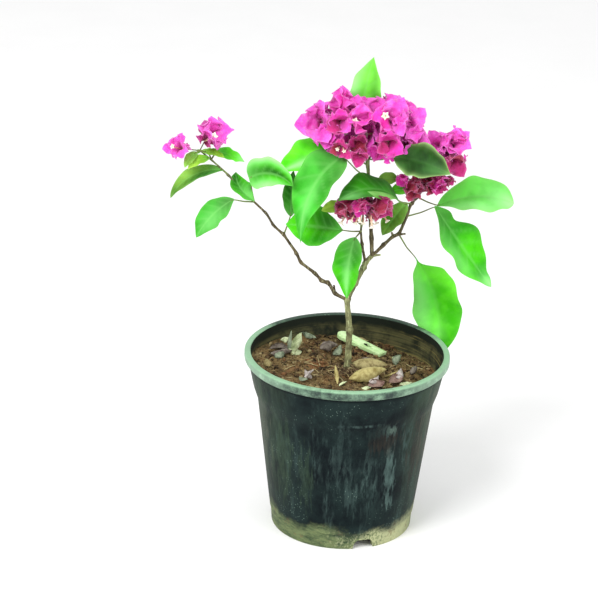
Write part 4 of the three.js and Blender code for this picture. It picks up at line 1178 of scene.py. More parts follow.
# The soil and what lies on it.
def soil_top(x, y):
    """The height of the smooth soil at a place, as the part has it."""
    away = math.hypot(x, y) - SOIL["pad_radius"]
    share = float(smooth_step(away, 0, SOIL["blend"]))
    slope = -SOIL["fall_right"] * x - SOIL["fall_back"] * y
    waves = math.sin(110 * x + 1.3) * math.cos(130 * y) + math.sin(50 * x - 90 * y)
    return SOIL["top"] + share * (slope + SOIL["lump"] * waves)


def soil_edge(turn):
    """The radius at which the soil's top meets the inner wall."""
    radius = wall_radius(SOIL["top"])
    for _ in range(4):
        level = soil_top(radius * math.cos(turn), radius * math.sin(turn))
        radius = wall_radius(level) - POT["wall"] - SOIL["clear"]
    return radius


def soil_surface(x, y):
    """The height of the rough soil: clods and hollows on the smooth top."""
    clods = noise.fractal(Vector((x, y, 0)) / SOIL["clod"], 0.7, 2.2, 5)
    near_trunk = 1 - SOIL["calm"] * float(smooth_step(math.hypot(x, y), SOIL["calm_to"], SOIL["calm_from"]))
    return soil_top(x, y) + SOIL["rough"] * (clods * 1.5 + 0.2) * near_trunk


def build_soil():
    """The filling of the pot. Its sides follow the inner wall, and its top is closely ringed and rough."""
    channel = POT["channel_height"] + POT["floor"] + SOIL["clear"]
    inset = POT["wall"] + SOIL["clear"]
    low, high = POT["shoulder"]
    base = POT["disc_radius"] - inset
    edge = wall_radius(SOIL["top"]) - inset
    rings = round(edge / SOIL["pitch"])
    profile = [
        (base, POT["floor"] + SOIL["clear"]),
        (base + POT["disc_lean"], channel),
        (wall_radius(channel) - inset, channel),
        (wall_radius(low) - inset, low),
        (wall_radius(high) - inset, high),
        *[(edge * (rings - k) / rings, SOIL["top"]) for k in range(rings)],
    ]
    soil = turned_shell("potting_soil", profile, 128)
    for corner in soil.data.vertices:
        if corner.co.z < SOIL["top"] - 1e-6:
            continue
        turn = math.atan2(corner.co.y, corner.co.x)
        share = math.hypot(corner.co.x, corner.co.y) / edge
        reach = share * soil_edge(turn)
        corner.co.x = reach * math.cos(turn)
        corner.co.y = reach * math.sin(turn)
        corner.co.z = soil_surface(corner.co.x, corner.co.y)
    soil.data.materials.clear()
    carry(soil, [soil_finish("soil", *SOIL_COLOURS["bed"])], "soil", "soil")
    smooth(soil, 60)


GRAIN = (
    (0, 0, 1), (0.89, 0, 0.45), (0.28, 0.85, 0.45), (-0.72, 0.53, 0.45), (-0.72, -0.53, 0.45),
    (0.28, -0.85, 0.45), (0.72, 0.53, -0.45), (-0.28, 0.85, -0.45), (-0.89, 0, -0.45),
    (-0.28, -0.85, -0.45), (0.72, -0.53, -0.45), (0, 0, -1),
)


def build_crumbs():
    """Loose crumbs of soil, each a lumpy grain of twenty faces, thicker towards the wall."""
    crumbs = Bunch()
    dealt = np.random.default_rng(7)
    grain = np.array(GRAIN)
    upper, lower = grain[1:6], grain[6:11]
    for _ in range(CRUMBS["count"]):
        reach = CRUMBS["spread"] * math.sqrt(dealt.uniform(0.012, 1))
        turn = dealt.uniform(0, 2 * math.pi)
        x, y = reach * math.cos(turn), reach * math.sin(turn)
        size = CRUMBS["smallest"] + (CRUMBS["largest"] - CRUMBS["smallest"]) * dealt.uniform() ** 3
        squash = np.array([dealt.uniform(*CRUMBS[key]) for key in ("broad", "broad", "tall")])
        middle = np.array((x, y, soil_surface(x, y) + CRUMBS["raised"] * size))
        rings = [
            middle + part * size * squash * dealt.uniform(*CRUMBS["lumpy"], (len(part), 1))
            for part in (grain[:1], upper, lower, grain[11:])
        ]
        crumbs.add(rings, int(dealt.choice(4, p=CRUMBS["shares"])))
    finishes = [soil_finish(f"{name} crumb", *colours) for name, colours in SOIL_COLOURS.items()]
    crumbs.piece("soil_crumbs", finishes, "soil")


def fibre_line(dealt, is_at_trunk):
    """The line of one fibre, from its foot to its tip or to the pot's wall."""
    turn, heading = dealt.uniform(0, 2 * math.pi, 2)
    if is_at_trunk:
        reach = FIBRES["trunk_clear"] + FIBRES["trunk_spread"] * dealt.uniform()
    else:
        reach = FIBRES["spread"] * math.sqrt(dealt.uniform(0.02, 1))
    length = dealt.uniform(FIBRES["shortest"], FIBRES["longest"])
    x, y = reach * math.cos(turn), reach * math.sin(turn)
    bow = dealt.uniform(-FIBRES["bow"], FIBRES["bow"])
    rise = dealt.uniform(*FIBRES["standing" if is_at_trunk else "lying"])
    if is_at_trunk:
        length *= FIBRES["trunk_length"]
        heading = turn + math.pi + dealt.uniform(-FIBRES["trunk_lean"], FIBRES["trunk_lean"])
    line = []
    for share in np.linspace(0, 1, 6):
        away = length * share * (1 - 0.4 * rise)
        px = x + away * math.cos(heading + bow * share)
        py = y + away * math.sin(heading + bow * share)
        if math.hypot(px, py) > FIBRES["limit"]:
            break
        climb = length * rise * share * (1 - 0.5 * share)
        line.append((px, py, soil_surface(px, py) + FIBRES["lift"] + climb))
    return line


def build_fibres():
    """Straws and dead rootlets: thin bent stems that lie on the soil, and stand round the trunk's foot."""
    fibres = Bunch()
    dealt = np.random.default_rng(11)
    for number in range(FIBRES["count"] + FIBRES["at_trunk"]):
        line = fibre_line(dealt, number >= FIBRES["count"])
        if len(line) < 4:
            continue
        thick = FIBRES["thick"] * dealt.uniform(0.5, 1.3) * np.linspace(1, 0.5, len(line))
        fibres.add(tube_rings(np.array(line), thick, 5), int(dealt.integers(0, 3)))
    finishes = [bark_finish(f"{name} fibre", colours[0], *colours) for name, colours in FIBRE_COLOURS.items()]
    fibres.piece("soil_fibres", finishes, "soil")


# Stems: rounded lines of points, and tubes of bark on them.
def stem_line(joints_of_stem, pitch, easing):
    """Points at an even pitch along a chain of internodes, its corners eased, with their distances."""
    chain = np.array(joints_of_stem)
    marks = np.concatenate(([0], np.cumsum(np.linalg.norm(np.diff(chain, axis=0), axis=1))))
    places = np.linspace(0, marks[-1], max(4, round(marks[-1] / pitch)) + 1)
    line = np.stack([np.interp(places, marks, chain[:, k]) for k in range(3)], 1)
    for _ in range(easing):
        line[1:-1] = (line[:-2] + 2 * line[1:-1] + line[2:]) / 4
    return line, places, marks


def tube_rings(line, radii, sides):
    """Rings round a line. The radii are one for each point, or one for each point and side."""
    radii = np.broadcast_to(np.asarray(radii).reshape(len(line), -1), (len(line), sides))
    angles = np.linspace(0, 2 * math.pi, sides, endpoint=False)
    rings = []
    across = None
    for i, point in enumerate(line):
        along = unit(line[min(i + 1, len(line) - 1)] - line[max(i - 1, 0)])
        if across is None:
            across = np.cross(along, (0, 1, 0) if abs(along[2]) > 0.9 else UP)
        across = unit(across - along * np.dot(across, along))
        other = np.cross(along, across)
        spokes = np.outer(np.cos(angles), across) + np.outer(np.sin(angles), other)
        rings.append(point + radii[i][:, None] * spokes)
    return rings


def bark_rings(joints_of_stem, base, tip, roughness, flare=0.0):
    """The rings of a limb: tapered, swollen at its joints, with knots and ridged bark."""
    line, places, marks = stem_line(joints_of_stem, BARK["pitch"], BARK["easing"])
    share = places / marks[-1]
    angles = np.linspace(0, 2 * math.pi, BARK["sides"], endpoint=False)
    radius = (base + (tip - base) * share) / 2
    seed = float(joints_of_stem[0][0] * 900 + joints_of_stem[-1][2] * 70)
    swell = sum(np.exp(-(((places - mark) / BARK["swell_reach"]) ** 2)) for mark in marks[1:-1])
    radius = radius * (1 + BARK["swell"] * swell) + flare * np.exp(-places / FOOT["flare_height"])
    radii = np.repeat(radius[:, None], BARK["sides"], axis=1)
    for number, mark in enumerate(marks[1:-1]):
        side = GOLDEN_ANGLE * number + seed
        turn = np.abs((angles - side + math.pi) % (2 * math.pi) - math.pi)
        knot = np.exp(-(((places - mark - BARK["knot_above"]) / BARK["knot_reach"]) ** 2))
        bulge = np.exp(-((turn / BARK["knot_breadth"]) ** 2))
        radii += BARK["knot"] * roughness * knot[:, None] * bulge[None, :]
    round_limb = np.stack([np.cos(angles), np.sin(angles)], 1) * 1.3
    for i, place in enumerate(places):
        ridges = bumps([(c, s, place / BARK["ridge_pitch"] + seed) for c, s in round_limb], 0.5, seed)
        grain = bumps([(c * 3, s * 3, place / BARK["grain_pitch"]) for c, s in round_limb], 1.0, seed + 5)
        radii[i] += roughness * (BARK["ridge"] * ridges + BARK["grain"] * grain)
    return tube_rings(line, np.maximum(radii, tip * BARK["thinnest"]), BARK["sides"])


joints = {}


def joint_at(on):
    """The place of a joint, from its stem's name and its number."""
    stem, number = on
    return joints[stem][number]


def stepped(start, step):
    """The end of a straight step, given by its length, heading and climb."""
    length, heading, climb = step
    return start + length * direction(heading, climb)


def grow_joints(name, limb):
    """The joints of a limb or twig, from a joint of its parent or from the soil."""
    if "start" in limb:
        chain = [joint_at(limb["start"])]
    else:
        chain = [np.array((FOOT["x"], FOOT["y"], SOIL["top"] + FOOT["gap"]))]
    for step in limb["steps"]:
        chain.append(stepped(chain[-1], step))
    joints[name] = chain


def build_limbs():
    """Each limb is a piece of its own, with bark in relief and the stubs of its broken shoots. The trunk goes
    on a little under the soil."""
    finishes = {
        "trunk": bark_finish("old bark", *BARK_COLOURS["old"]),
        "bough": bark_finish("young bark", *BARK_COLOURS["young"]),
    }
    for name, limb in LIMBS.items():
        kind = "trunk" if name == "trunk" else "bough"
        chain = list(joints[name])
        flare = 0.0
        if kind == "trunk":
            chain[0] = chain[0] - FOOT["sunk"] * UP
            flare = FOOT["flare"]
        wood = Bunch()
        wood.add(bark_rings(chain, limb["base"], limb["tip"], BARK["rough"][kind], flare))
        for number, *step in limb.get("stubs", ()):
            foot = joints[name][number]
            wood.add(bark_rings([foot, stepped(foot, step)], STUB["base"], STUB["tip"], 1.0))
        wood.piece(f"bark_{name}", [finishes[kind]], "bark", name)


# Blades: a midrib that bends evenly, with its outline, fold and waves.
def fullness(share, lead, tail):
    """How full a blade is at a share of its length."""
    peak = lead / (lead + tail)
    return share**lead * (1 - share) ** tail / (peak**lead * (1 - peak) ** tail)


def midrib(at, axis, out, lean, length, rows, bend=0.0, roll=0.0):
    """The points of a midrib that leans from axis towards out, with the directions across and out of the
    blade's face at each. The rows close up a little towards both ends."""
    even = np.linspace(0, 1, rows + 1)
    closed = 0.5 - 0.5 * np.cos(math.pi * even)
    shares = CLOSENESS * closed + (1 - CLOSENESS) * even
    points, sides, faces = [at], [], []
    for i, share in enumerate(shares):
        swung = turned(out, axis, math.radians(bend * (share - 0.5)))
        angle = math.radians(lean[0] + (lean[1] - lean[0]) * share)
        along = axis * math.cos(angle) + swung * math.sin(angle)
        face = axis * math.sin(angle) - swung * math.cos(angle)
        side = np.cross(axis, swung)
        turn = math.radians(roll)
        faces.append(face * math.cos(turn) + side * math.sin(turn))
        sides.append(side * math.cos(turn) - face * math.sin(turn))
        if i < rows:
            points.append(points[-1] + along * length * (shares[i + 1] - share))
    return shares, np.array(points), np.array(sides), np.array(faces)


def sheet_rings(points, across, faces, sideways, lift, thick, rib=None):
    """Rings round a thin blade: over its upper face from margin to margin, and back under it. The first and
    last rows are points. A rib thickens the underside along its middle."""
    upper = points[:, None] + sideways[..., None] * across[:, None] + lift[..., None] * faces[:, None]
    depth = np.full(sideways.shape, thick)
    if rib is not None:
        middle = np.abs(sideways) < 0.1 * np.abs(sideways).max(axis=1, keepdims=True)
        depth = depth + rib[:, None] * middle
    lower = upper - depth[..., None] * faces[:, None]
    rings = [points[:1]]
    for top, bottom in zip(upper[1:-1], lower[1:-1]):
        rings.append(np.vstack([top, bottom[-2:0:-1]]))
    rings.append(points[-1:])
    return rings


def vein_pattern(shares, places, count):
    """How strongly each point of a blade lies on a side vein, from 0 to 1. The veins arch to the tip."""
    phase = (shares[:, None] - 0.17 * np.abs(places)[None, :] ** 0.8) * count
    lines = (0.5 + 0.5 * np.cos(2 * math.pi * phase)) ** 5
    fade = (1 - np.abs(places) ** 3)[None, :] * np.sin(math.pi * shares)[:, None] ** 0.4
    return lines * fade


def blade_marks(**fields):
    """The marks of a blade's points, in the order of its rings, from values for each row and place."""
    marks = {}
    for name in MARKS:
        field = fields.get(name, np.zeros_like(fields["edge"]))
        rows = [np.concatenate([row, row[-2:0:-1]]) for row in field[1:-1]]
        marks[name] = np.concatenate([field[0, :1], *rows, field[-1, :1]])
    return marks


def tinted(shares, places, patches):
    """How far each point of a leaf lies in its soft patches of painted highlight or of painted shade. A patch
    is its share of the length, its place across, its reach along, its reach across and its strength."""
    made = np.zeros((len(shares), len(places)))
    for share, place, along, across, strength in patches:
        away = ((shares[:, None] - share) / along) ** 2 + ((places[None, :] - place) / across) ** 2
        made = np.maximum(made, strength * np.exp(-away))
    return made


def leaf_outline(leaf, half, shares, seed):
    """Half the leaf's width at each row and place, with a slight wobble and the leaf's own dents."""
    wobble = 1 + 0.025 * np.sin(17 * shares + seed) + 0.02 * np.sin(29 * shares + 2.3 * seed)
    outline = np.repeat((half * wobble)[:, None], len(LEAF_ACROSS), axis=1)
    for at, side, depth, spread in leaf.get("dents", ()):
        dent = depth * np.exp(-(((shares - at) / spread) ** 2))
        outline *= 1 - dent[:, None] * (side * LEAF_ACROSS > 0)[None, :]
    return outline


def leaf_lift(leaf, half, fold, shares, seed):
    """How far each point lies over the midrib: the folded halves, their arch and the waves of the margin."""
    arch = np.abs(LEAF_ACROSS) * 1.7 - 0.7 * np.abs(LEAF_ACROSS) ** 2.2
    lift = half[:, None] * fold * arch[None, :]
    wave = leaf.get("wave", LEAF["wave"]) * leaf["width"]
    for side in (-1, 1):
        waves = 2.3 + 0.7 * chance(seed + side)
        ripple = np.sin(2 * math.pi * waves * shares + 7 * chance(seed + 3 * side))
        edge = np.clip(side * LEAF_ACROSS, 0, 1) ** 2
        lift += wave * (ripple * np.sin(math.pi * shares) ** 0.6)[:, None] * edge[None, :]
    return lift


def leaf_finishes(leaf, shares):
    """The number of each face's finish: the leaf's tone above, and the paler underside with its rib."""
    tone, under, rib = (list(LEAF_TONES).index(part) for part in (leaf["tone"], "under", "rib"))
    top = len(LEAF_ACROSS)
    belt = [tone] * (top - 1) + [under] * (top - 1)
    belt[top + top // 2 - 2] = rib
    pale_side, pale_reach = leaf.get("pale_side", (0, 0))
    finishes = []
    for share in shares[:-1]:
        row = list(belt)
        for k, place in enumerate((LEAF_ACROSS[1:] + LEAF_ACROSS[:-1]) / 2):
            if share < pale_reach and pale_side * place > 0.25:
                row[k] = under
        finishes += row
    return finishes


def grow_leaf(leaves, leaf, seed):
    """A leaf on its petiole: a folded blade with sunk veins, a wavy margin and a raised rib beneath."""
    start = joint_at(leaf["on"])
    end = stepped(start, leaf["petiole"])
    out = direction(leaf["heading"], 0)
    lean = [90 - angle for angle in leaf["climb"]]
    first = UP * math.cos(math.radians(lean[0])) + out * math.sin(math.radians(lean[0]))
    rows = LEAF["rows"] if leaf["length"] > LEAF["short"] else LEAF["rows"] // 2
    length = leaf["length"] + LEAF["sunk"]
    base = end - LEAF["sunk"] * first
    shares, points, sides, faces = midrib(
        base, UP, out, lean, length, rows, leaf.get("bend", 0), leaf["roll"]
    )
    lead, tail, fold = (leaf.get(key, LEAF[key]) for key in ("lead", "tail", "fold"))
    fold = math.sin(math.radians(fold))
    half = leaf["width"] / 2 * fullness(shares, lead, tail)
    sideways = leaf_outline(leaf, half, shares, seed) * LEAF_ACROSS[None, :] * math.sqrt(1 - fold * fold)
    veins = vein_pattern(shares, LEAF_ACROSS, LEAF["veins"] + (seed % 2))
    quilt = LEAF["quilt"] * veins * min(1, leaf["length"] / LEAF["quilt_from"])
    lift = leaf_lift(leaf, half, fold, shares, seed) - quilt
    rib = LEAF["rib"] * (1 - shares) ** 0.7
    rings = sheet_rings(points, sides, faces, sideways, lift, LEAF["thick"], rib)
    middle = np.exp(-((LEAF_ACROSS / 0.08) ** 2))[None, :]
    marks = blade_marks(
        vein=np.maximum(0.6 * veins, middle),
        edge=np.clip(np.abs(LEAF_ACROSS)[None, :] ** 8 + 0.8 * shares[:, None] ** 14, 0, 1),
        root=np.repeat((1 - shares[:, None]) ** 5, len(LEAF_ACROSS), axis=1),
        pale=tinted(shares, LEAF_ACROSS, leaf.get("pale", ())),
        dim=tinted(shares, LEAF_ACROSS, leaf.get("dim", ())),
    )
    leaves.add(rings, leaf_finishes(leaf, shares), marks)
    sag = (start + end) / 2 - LEAF["petiole_sag"] * leaf["petiole"][0] * UP
    line, along, ends = stem_line([start, sag, end, end + LEAF["petiole_sunk"] * first], 0.0012, 5)
    width = LEAF["petiole"] * (1.15 - 0.45 * along / ends[-1]) / 2
    leaves.add(tube_rings(line, width, 8), list(LEAF_TONES).index("petiole"))


def grow_bract(bracts, root, axis, out, lean, scale, seed, tone, dark):
    """One papery bract: cupped, crinkled and ruffled, pointed at its tip."""
    length = HEAD["length"] * scale * (0.92 + 0.16 * chance(seed + 1))
    swing, tilt, twist = (
        HEAD[key] * (chance(seed + k) - 0.5) for k, key in enumerate(("swing", "tilt", "twist"), 2)
    )
    lean = (lean[0], lean[1] + tilt)
    shares, points, sides, faces = midrib(root, axis, out, lean, length, HEAD["rows"], swing, twist)
    places = BRACT_ACROSS
    half = HEAD["width"] / 2 * scale * fullness(shares, HEAD["lead"], HEAD["tail"])
    half *= 1 + 0.06 * np.sin(9 * shares + 6 * chance(seed + 5)) + 0.025 * np.sin(31 * shares + seed)
    cup = math.sin(math.radians(HEAD["cup"]))
    sideways = half[:, None] * places[None, :] * math.sqrt(1 - cup * cup)
    lift = half[:, None] * cup * np.abs(places)[None, :] ** 1.5
    bell = np.sin(math.pi * shares)
    for side in (-1, 1):
        reach = np.clip(side * places, 0, 1)
        waves = 2.0 + 1.4 * chance(seed + 6 + side)
        broad = np.sin(2 * math.pi * (waves * shares + chance(seed + 9 + side)))
        frill = np.sin(2 * math.pi * ((waves + 3.1) * shares + chance(seed + 14 + side)))
        lift += HEAD["ruffle"] * scale * (broad * bell)[:, None] * (reach**2)[None, :]
        lift += HEAD["frill"] * scale * (frill * bell)[:, None] * (reach**5)[None, :]
    along = np.repeat(shares * length, len(places))
    grid = np.stack([along, sideways.ravel(), np.full(sideways.size, seed * 0.37)], 1)
    crinkle = bumps(grid, HEAD["crinkle_size"], seed).reshape(sideways.shape)
    lift += HEAD["crinkle"] * scale * crinkle * bell[:, None]
    middle = 0.8 * np.exp(-((places / 0.12) ** 2))[None, :]
    marks = blade_marks(
        vein=np.maximum(vein_pattern(shares, places, 5), middle),
        edge=np.clip(np.abs(places)[None, :] ** 6 + shares[:, None] ** 16, 0, 1),
        root=np.repeat(np.exp(-((shares / dark) ** 2))[:, None], len(places), axis=1),
    )
    bracts.add(sheet_rings(points, sides, -faces, sideways, -lift, -HEAD["thick"]), tone, marks)


def grow_flower(flowers, root, axis, scale, seed):
    """A small flower: a slim tube that opens into a five-lobed star."""
    sides = FLOWER["sides"]
    tube, star, notch = (FLOWER[key] * scale for key in ("tube", "star", "notch"))
    length = FLOWER["length"] * scale * (0.85 + 0.3 * chance(seed))
    lean = unit(axis + FLOWER["stray"] * np.array([chance(seed + k) - 0.5 for k in (1, 2, 3)]))
    across = unit(np.cross(lean, UP if abs(lean[2]) < 0.9 else (1, 0, 0)))
    other = np.cross(lean, across)
    angles = 2 * math.pi * (np.arange(sides) / sides + chance(seed + 4))
    spokes = np.outer(np.cos(angles), across) + np.outer(np.sin(angles), other)
    lobes = np.where(np.arange(sides) % 2 == 0, star, notch)[:, None]

    def ring(radius, height):
        return root + spokes * radius + lean * height

    rings = [
        root[None, :],
        ring(tube * 0.6, length * 0.15),
        ring(tube, length * 0.55),
        ring(tube * 0.8, length * 0.85),
        ring(lobes, length),
        ring(lobes * 0.8, length + 0.0004),
        ring(tube * 0.55, length * 0.93),
        (root + lean * length * 0.8)[None, :],
    ]
    tube_faces, star_faces, throat_faces = [0] * (3 * sides), [1] * (3 * sides), [2] * sides
    flowers.add(rings, tube_faces + star_faces + throat_faces)


def grow_head(spray, start, base, axis, spin, lean, scale, seed, tone, blooms, dark=HEAD["dark"]):
    """A head of blossom: its stalk, three bracts a third of a turn apart, and its small flowers. The tones
    of the bracts stray a little from the head's."""
    level = np.array((1.0, 0, 0)) if abs(axis[2]) > 0.9 else UP
    first = unit(np.cross(axis, level))
    root = base - axis * HEAD["sunk"]
    darkest = len(BRACT_COLOURS) - 1
    for k in range(3):
        out = turned(first, axis, math.radians(spin) + k * THIRD_TURN)
        varied = int(np.clip(round(tone + 1.3 * (chance(seed * 3.1 + k) - 0.5)), 0, darkest))
        grow_bract(spray["bracts"], root, axis, out, lean, scale, seed * 7.3 + k * 31, varied, dark)
    for k in range(blooms):
        out = turned(first, axis, math.radians(spin) + k * THIRD_TURN)
        foot = root + out * FLOWER["apart"]
        grow_flower(spray["flowers"], foot, unit(axis + FLOWER["spread"] * out), scale, seed + 11 * k)
    line, _, _ = stem_line([start, base + axis * 0.001], 0.003, 0)
    spray["twigs"].add(tube_rings(line, np.full(len(line), HEAD["stalk"] / 2), 6))


def dome_heads(dome):
    """The heads of a dome: an outer and an inner layer, each spaced by the golden angle from the top down to
    the dome's lowest climb."""
    middle = joint_at(dome["on"])
    bottom = math.sin(math.radians(dome["lowest"]))
    for layer, kind in enumerate(DOME["layers"]):
        count = round(dome["count"] * kind["crowd"])
        for i in range(count):
            seed = i + dome["turn"] + 41 * layer
            height = 1 - ((i + 0.5) / count) * (1 - bottom)
            around = math.radians(dome["turn"] + 70 * layer) + i * GOLDEN_ANGLE
            flat = math.sqrt(1 - height * height)
            tall = height * dome.get("squash", DOME["squash"])
            outward = unit(np.array((flat * math.cos(around), flat * math.sin(around), tall)))
            stray = np.array([chance(seed + k) - 0.5 for k in (61, 62, 63)])
            reach = dome["reach"] * kind["core"] * math.hypot(flat, tall)
            lean = (HEAD["lean"][0], HEAD["lean"][1] + DOME["open"] * (chance(seed + 20) - 0.5))
            size = dome["reach"] * DOME["per_reach"] * kind["scale"] * (0.85 + 0.2 * chance(seed + 50))
            yield dict(
                start=middle,
                base=middle + outward * reach,
                axis=unit(outward + DOME["stray"] * stray),
                spin=120 * chance(seed),
                lean=dome.get("lean", lean),
                scale=size * dome.get("full", math.hypot(flat, tall)),
                seed=seed,
                tone=bract_tone(dome["shade"] + kind["shade"], height, seed),
                blooms=int(layer == 0 and chance(seed + 5) < DOME["blooming"]),
            )


def bract_tone(shade, height, seed):
    """The number of a dome head's finish, as painted shade: lighter at the top, darker low and inside."""
    dark = shade + 0.9 * (0.3 - height) + 0.6 * (chance(seed + 77) - 0.5)
    return int(np.clip(round(1.0 + 1.5 * dark), 0, len(BRACT_COLOURS) - 1))


def hang_flowers(flowers, dome):
    """Small flowers that hang from under a dome, spread round its front."""
    count = dome.get("hanging", 0)
    for k in range(count):
        turn = HANGING["first"] + HANGING["turn"] * k / count + HANGING["stray"] * chance(k)
        away = dome["reach"] * (HANGING["near"] + HANGING["far"] * chance(k + 9))
        foot = stepped(joint_at(dome["on"]), (away, turn, HANGING["out_climb"]))
        axis = direction(turn, HANGING["climb"])
        grow_flower(flowers, foot, axis, 0.55 + 0.4 * chance(k + 17), k + 0.3)


def build_spray(name, spray, finishes):
    """A spray's twigs, leaves, bracts and flowers, each kind joined into one piece."""
    kinds = {kind: Bunch() for kind in ("twigs", "leaves", "bracts", "flowers")}
    for twig_name in spray["twigs"]:
        kinds["twigs"].add(bark_rings(joints[twig_name], TWIG["base"], TWIG["tip"], BARK["rough"]["twig"]))
    for number, leaf in enumerate(spray["leaves"]):
        grow_leaf(kinds["leaves"], leaf, number + len(name))
    carried = [(joint_at(on), head) for on, heads in spray["heads"].items() for head in heads]
    for number, (start, head) in enumerate(carried):
        grow_head(
            kinds, start, stepped(start, head["stalk"]), direction(*head["axis"]), head["spin"], head["lean"],
            head["scale"], number + 0.5, head["tone"], head["blooms"], head["dark"],
        )
    for dome in spray["domes"]:
        for head in dome_heads(dome):
            grow_head(kinds, **head)
        hang_flowers(kinds["flowers"], dome)
    kinds["leaves"].piece(f"{name}_leaves", finishes["leaf"], "leaf", name)
    kinds["twigs"].piece(f"{name}_twigs", [finishes["twig"]], "bark", name)
    if kinds["bracts"].count:
        kinds["bracts"].piece(f"{name}_bracts", finishes["bract"], "bract", name)
        kinds["flowers"].piece(f"{name}_flowers", finishes["flower"], "bract", name)


def build_plant():
    """The limbs, the sprays on them, and the leaves that grow straight from a bough."""
    for name, limb in LIMBS.items():
        grow_joints(name, limb)
    for spray in SPRAYS.values():
        for name, twig in spray["twigs"].items():
            grow_joints(name, twig)
    build_limbs()
    finishes = {
        "leaf": [leaf_finish(f"{tone} leaf", *look) for tone, look in LEAF_TONES.items()],
        "bract": [bract_finish(f"{tone} bract", *pair) for tone, pair in BRACT_COLOURS.items()],
        "flower": [plain_finish(f"flower {part}", *pair, 0.5) for part, pair in FLOWER_COLOURS.items()],
        "twig": bark_finish("green bark", *BARK_COLOURS["twig"]),
    }
    for name, spray in SPRAYS.items():
        build_spray(name, spray, finishes)
    for number, (name, leaves) in enumerate(SIDE_LEAVES.items()):
        bunch = Bunch()
        for k, leaf in enumerate(leaves):
            grow_leaf(bunch, leaf, 20 + 3 * number + k)
        bunch.piece(f"{name}_blade", finishes["leaf"], "leaf", name)


# Litter on the soil.
def litter_leaf(bunch, at, size, heading, curl, tone, climb=0, arch=0, roll=0, rumple=0.07):
    """A dry leaf or petal, rolled, arched and rumpled, laid so that its lowest point just meets the soil."""
    x, y = at
    length, width = size
    across = LITTER["across"]
    lean = (90 - climb - arch, 90 - climb + arch)
    seed = 700 * x - 300 * y
    swing = LITTER["swing"] * (chance(seed) - 0.5)
    shares, points, sides, faces = midrib(
        np.zeros(3), UP, direction(heading, 0), lean, length, LITTER["rows"], swing, roll
    )
    places = np.linspace(-1, 1, across)
    half = width / 2 * fullness(shares, LITTER["lead"], LITTER["tail"])
    half *= 1 + 0.05 * np.sin(23 * shares + seed)
    angle = math.radians(abs(curl))
    sideways = half[:, None] * np.sin(places * angle)[None, :] / angle
    lift = math.copysign(1, curl) * half[:, None] * (1 - np.cos(places * angle))[None, :] / angle
    flat = half[:, None] * places[None, :]
    grid = np.stack([np.repeat(shares * length, across), flat.ravel(), np.full(flat.size, seed)], 1)
    lift += rumple * width * bumps(grid, width * LITTER["rumple_size"], seed, 3).reshape(lift.shape)
    veins = vein_pattern(shares, places, LITTER["veins"])
    lift -= LITTER["quilt"] * veins * math.copysign(1, curl)
    rings = sheet_rings(points, sides, faces, sideways, lift, LITTER["thick"])
    drop = min(c[2] - soil_surface(x + c[0], y + c[1]) for c in np.vstack(rings))
    moved = np.array((x, y, -drop))
    middle = np.exp(-((places / 0.1) ** 2))[None, :]
    edge = np.tile(np.abs(places) ** 6, (len(shares), 1))
    marks = blade_marks(vein=np.maximum(veins, middle), edge=edge)
    bunch.add([ring + moved for ring in rings], list(LITTER_COLOURS).index(tone), marks)


def litter_finish(name, dark, light):
    """A dead leaf: blotched and speckled, pale along the veins and dark at its edges."""
    finish = Finish(name, 0.7, specular=0.25)
    blotches = finish.speckle(130.0, 5.0, 0.65)
    specks = finish.speckle(900.0, 3.0, 0.7)
    finish.base(finish.eased(blotches, 0.38, 0.6), dark, light)
    finish.over(finish.times(finish.attribute("vein"), 0.45), light)
    finish.over(finish.eased(specks, 0.56, 0.68, 0.0, 0.7), dark)
    finish.over(finish.times(finish.attribute("edge"), 0.5), dark)
    finish.relief(specks, 0.0004, 0.6, finish.relief(blotches, 0.0008, 0.5))
    return finish.material


def build_litter():
    """The two large dry leaves, and the small scraps round them."""
    finishes = [litter_finish(f"{tone} litter", *pair) for tone, pair in LITTER_COLOURS.items()]
    for name, leaf in DRY_LEAVES.items():
        bunch = Bunch()
        litter_leaf(bunch, **leaf)
        bunch.piece(f"{name}_blade", finishes, "dry_leaf", name)
    scraps = Bunch()
    for scrap in SCRAPS:
        litter_leaf(scraps, **scrap)
    scraps.piece("litter_scraps", finishes, "dry_leaf")


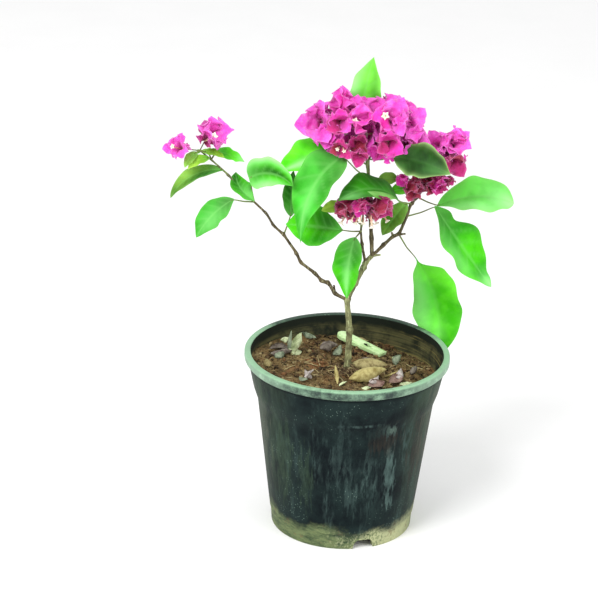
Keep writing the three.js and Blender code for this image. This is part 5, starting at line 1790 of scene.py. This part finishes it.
def build_cane():
    """The chip of cane: a rounded slab with a slot, dressed with soft edges over the part's own chip."""
    pith = plain_finish("pale pith", *PITH_COLOURS, 0.7, 130.0)
    hollow = plain_finish("pith hole", PITH_HOLE, PITH_HOLE, 0.9)
    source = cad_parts["cane_chip"]
    start_piece()
    cane = source.copy()
    cane.data = source.data.copy()
    bpy.context.scene.collection.objects.link(cane)
    cane.name = "cane_slip"
    for key in list(cane.keys()):
        del cane[key]
    cane.parent = None
    cane.select_set(True)
    bpy.context.view_layer.objects.active = cane
    bpy.ops.object.mode_set(mode="EDIT")
    bpy.ops.mesh.select_all(action="SELECT")
    bpy.ops.mesh.remove_doubles(threshold=1e-6)
    bpy.ops.object.mode_set(mode="OBJECT")
    ease = cane.modifiers.new("ease", "BEVEL")
    ease.width = CANE["ease"]
    ease.segments = 3
    ease.limit_method = "ANGLE"
    bpy.ops.object.modifier_apply(modifier="ease")
    cane.data.materials.clear()
    carry(cane, [pith, hollow], "cane", "cane_chip")
    turn = Quaternion((0, 0, 1), math.radians(CANE["heading"]))
    lain = (turn @ Quaternion((0, 1, 0), math.radians(CANE["tilt"]))).inverted()
    for face in cane.data.polygons:
        place = lain @ (face.center - Vector(CANE["place"]))
        away = math.hypot((place.x - CANE["hole_at"]) / CANE["hole"][0], place.y / CANE["hole"][1])
        face.material_index = int(away < 1)
    smooth(cane, 40)


# The stage: floor, light and camera.
def build_stage():
    """A pale floor, an even white sky and two soft lamps."""
    start_piece()
    bpy.ops.mesh.primitive_plane_add(size=FLOOR_SIZE)
    floor = bpy.context.object
    floor.name = "floor"
    paint = Finish("pale floor", 0.9, specular=0.1)
    paint.base(paint.speckle(9.0), *FLOOR_GREYS)
    floor.data.materials.append(paint.material)
    world = bpy.data.worlds.new("studio")
    world.use_nodes = True
    world.node_tree.nodes["Background"].inputs["Color"].default_value = (1, 1, 1, 1)
    world.node_tree.nodes["Background"].inputs["Strength"].default_value = LIGHTS["sky"]
    bpy.context.scene.world = world
    for name, (place, size, power) in LIGHTS["lamps"].items():
        bpy.ops.object.light_add(type="AREA", location=place)
        lamp = bpy.context.object
        lamp.name = name
        lamp.data.shape = "DISK"
        lamp.data.size = size
        lamp.data.energy = power
        aim = Vector(LIGHTS["aim"]) - Vector(place)
        lamp.rotation_euler = aim.to_track_quat("-Z", "Y").to_euler()


def build_camera():
    """The camera of the photograph, with plain colour."""
    pitch = math.radians(CAMERA["pitch"])
    target = Vector(CAMERA["target"])
    back = Vector((0, -math.cos(pitch), math.sin(pitch)))
    bpy.ops.object.camera_add(location=target + back * CAMERA["distance"])
    camera = bpy.context.object
    camera.data.lens = CAMERA["lens"]
    camera.data.sensor_width = CAMERA["sensor"]
    camera.data.clip_start = CAMERA["near"]
    aim = (-back).to_track_quat("-Z", "Y") @ Quaternion((0, 0, 1), math.radians(CAMERA["roll"]))
    camera.rotation_euler = aim.to_euler()
    bpy.context.scene.camera = camera
    bpy.context.scene.view_settings.view_transform = "Standard"


build_stage()
build_camera()
build_pot()
build_soil()
build_crumbs()
build_fibres()
build_plant()
build_litter()
build_cane()
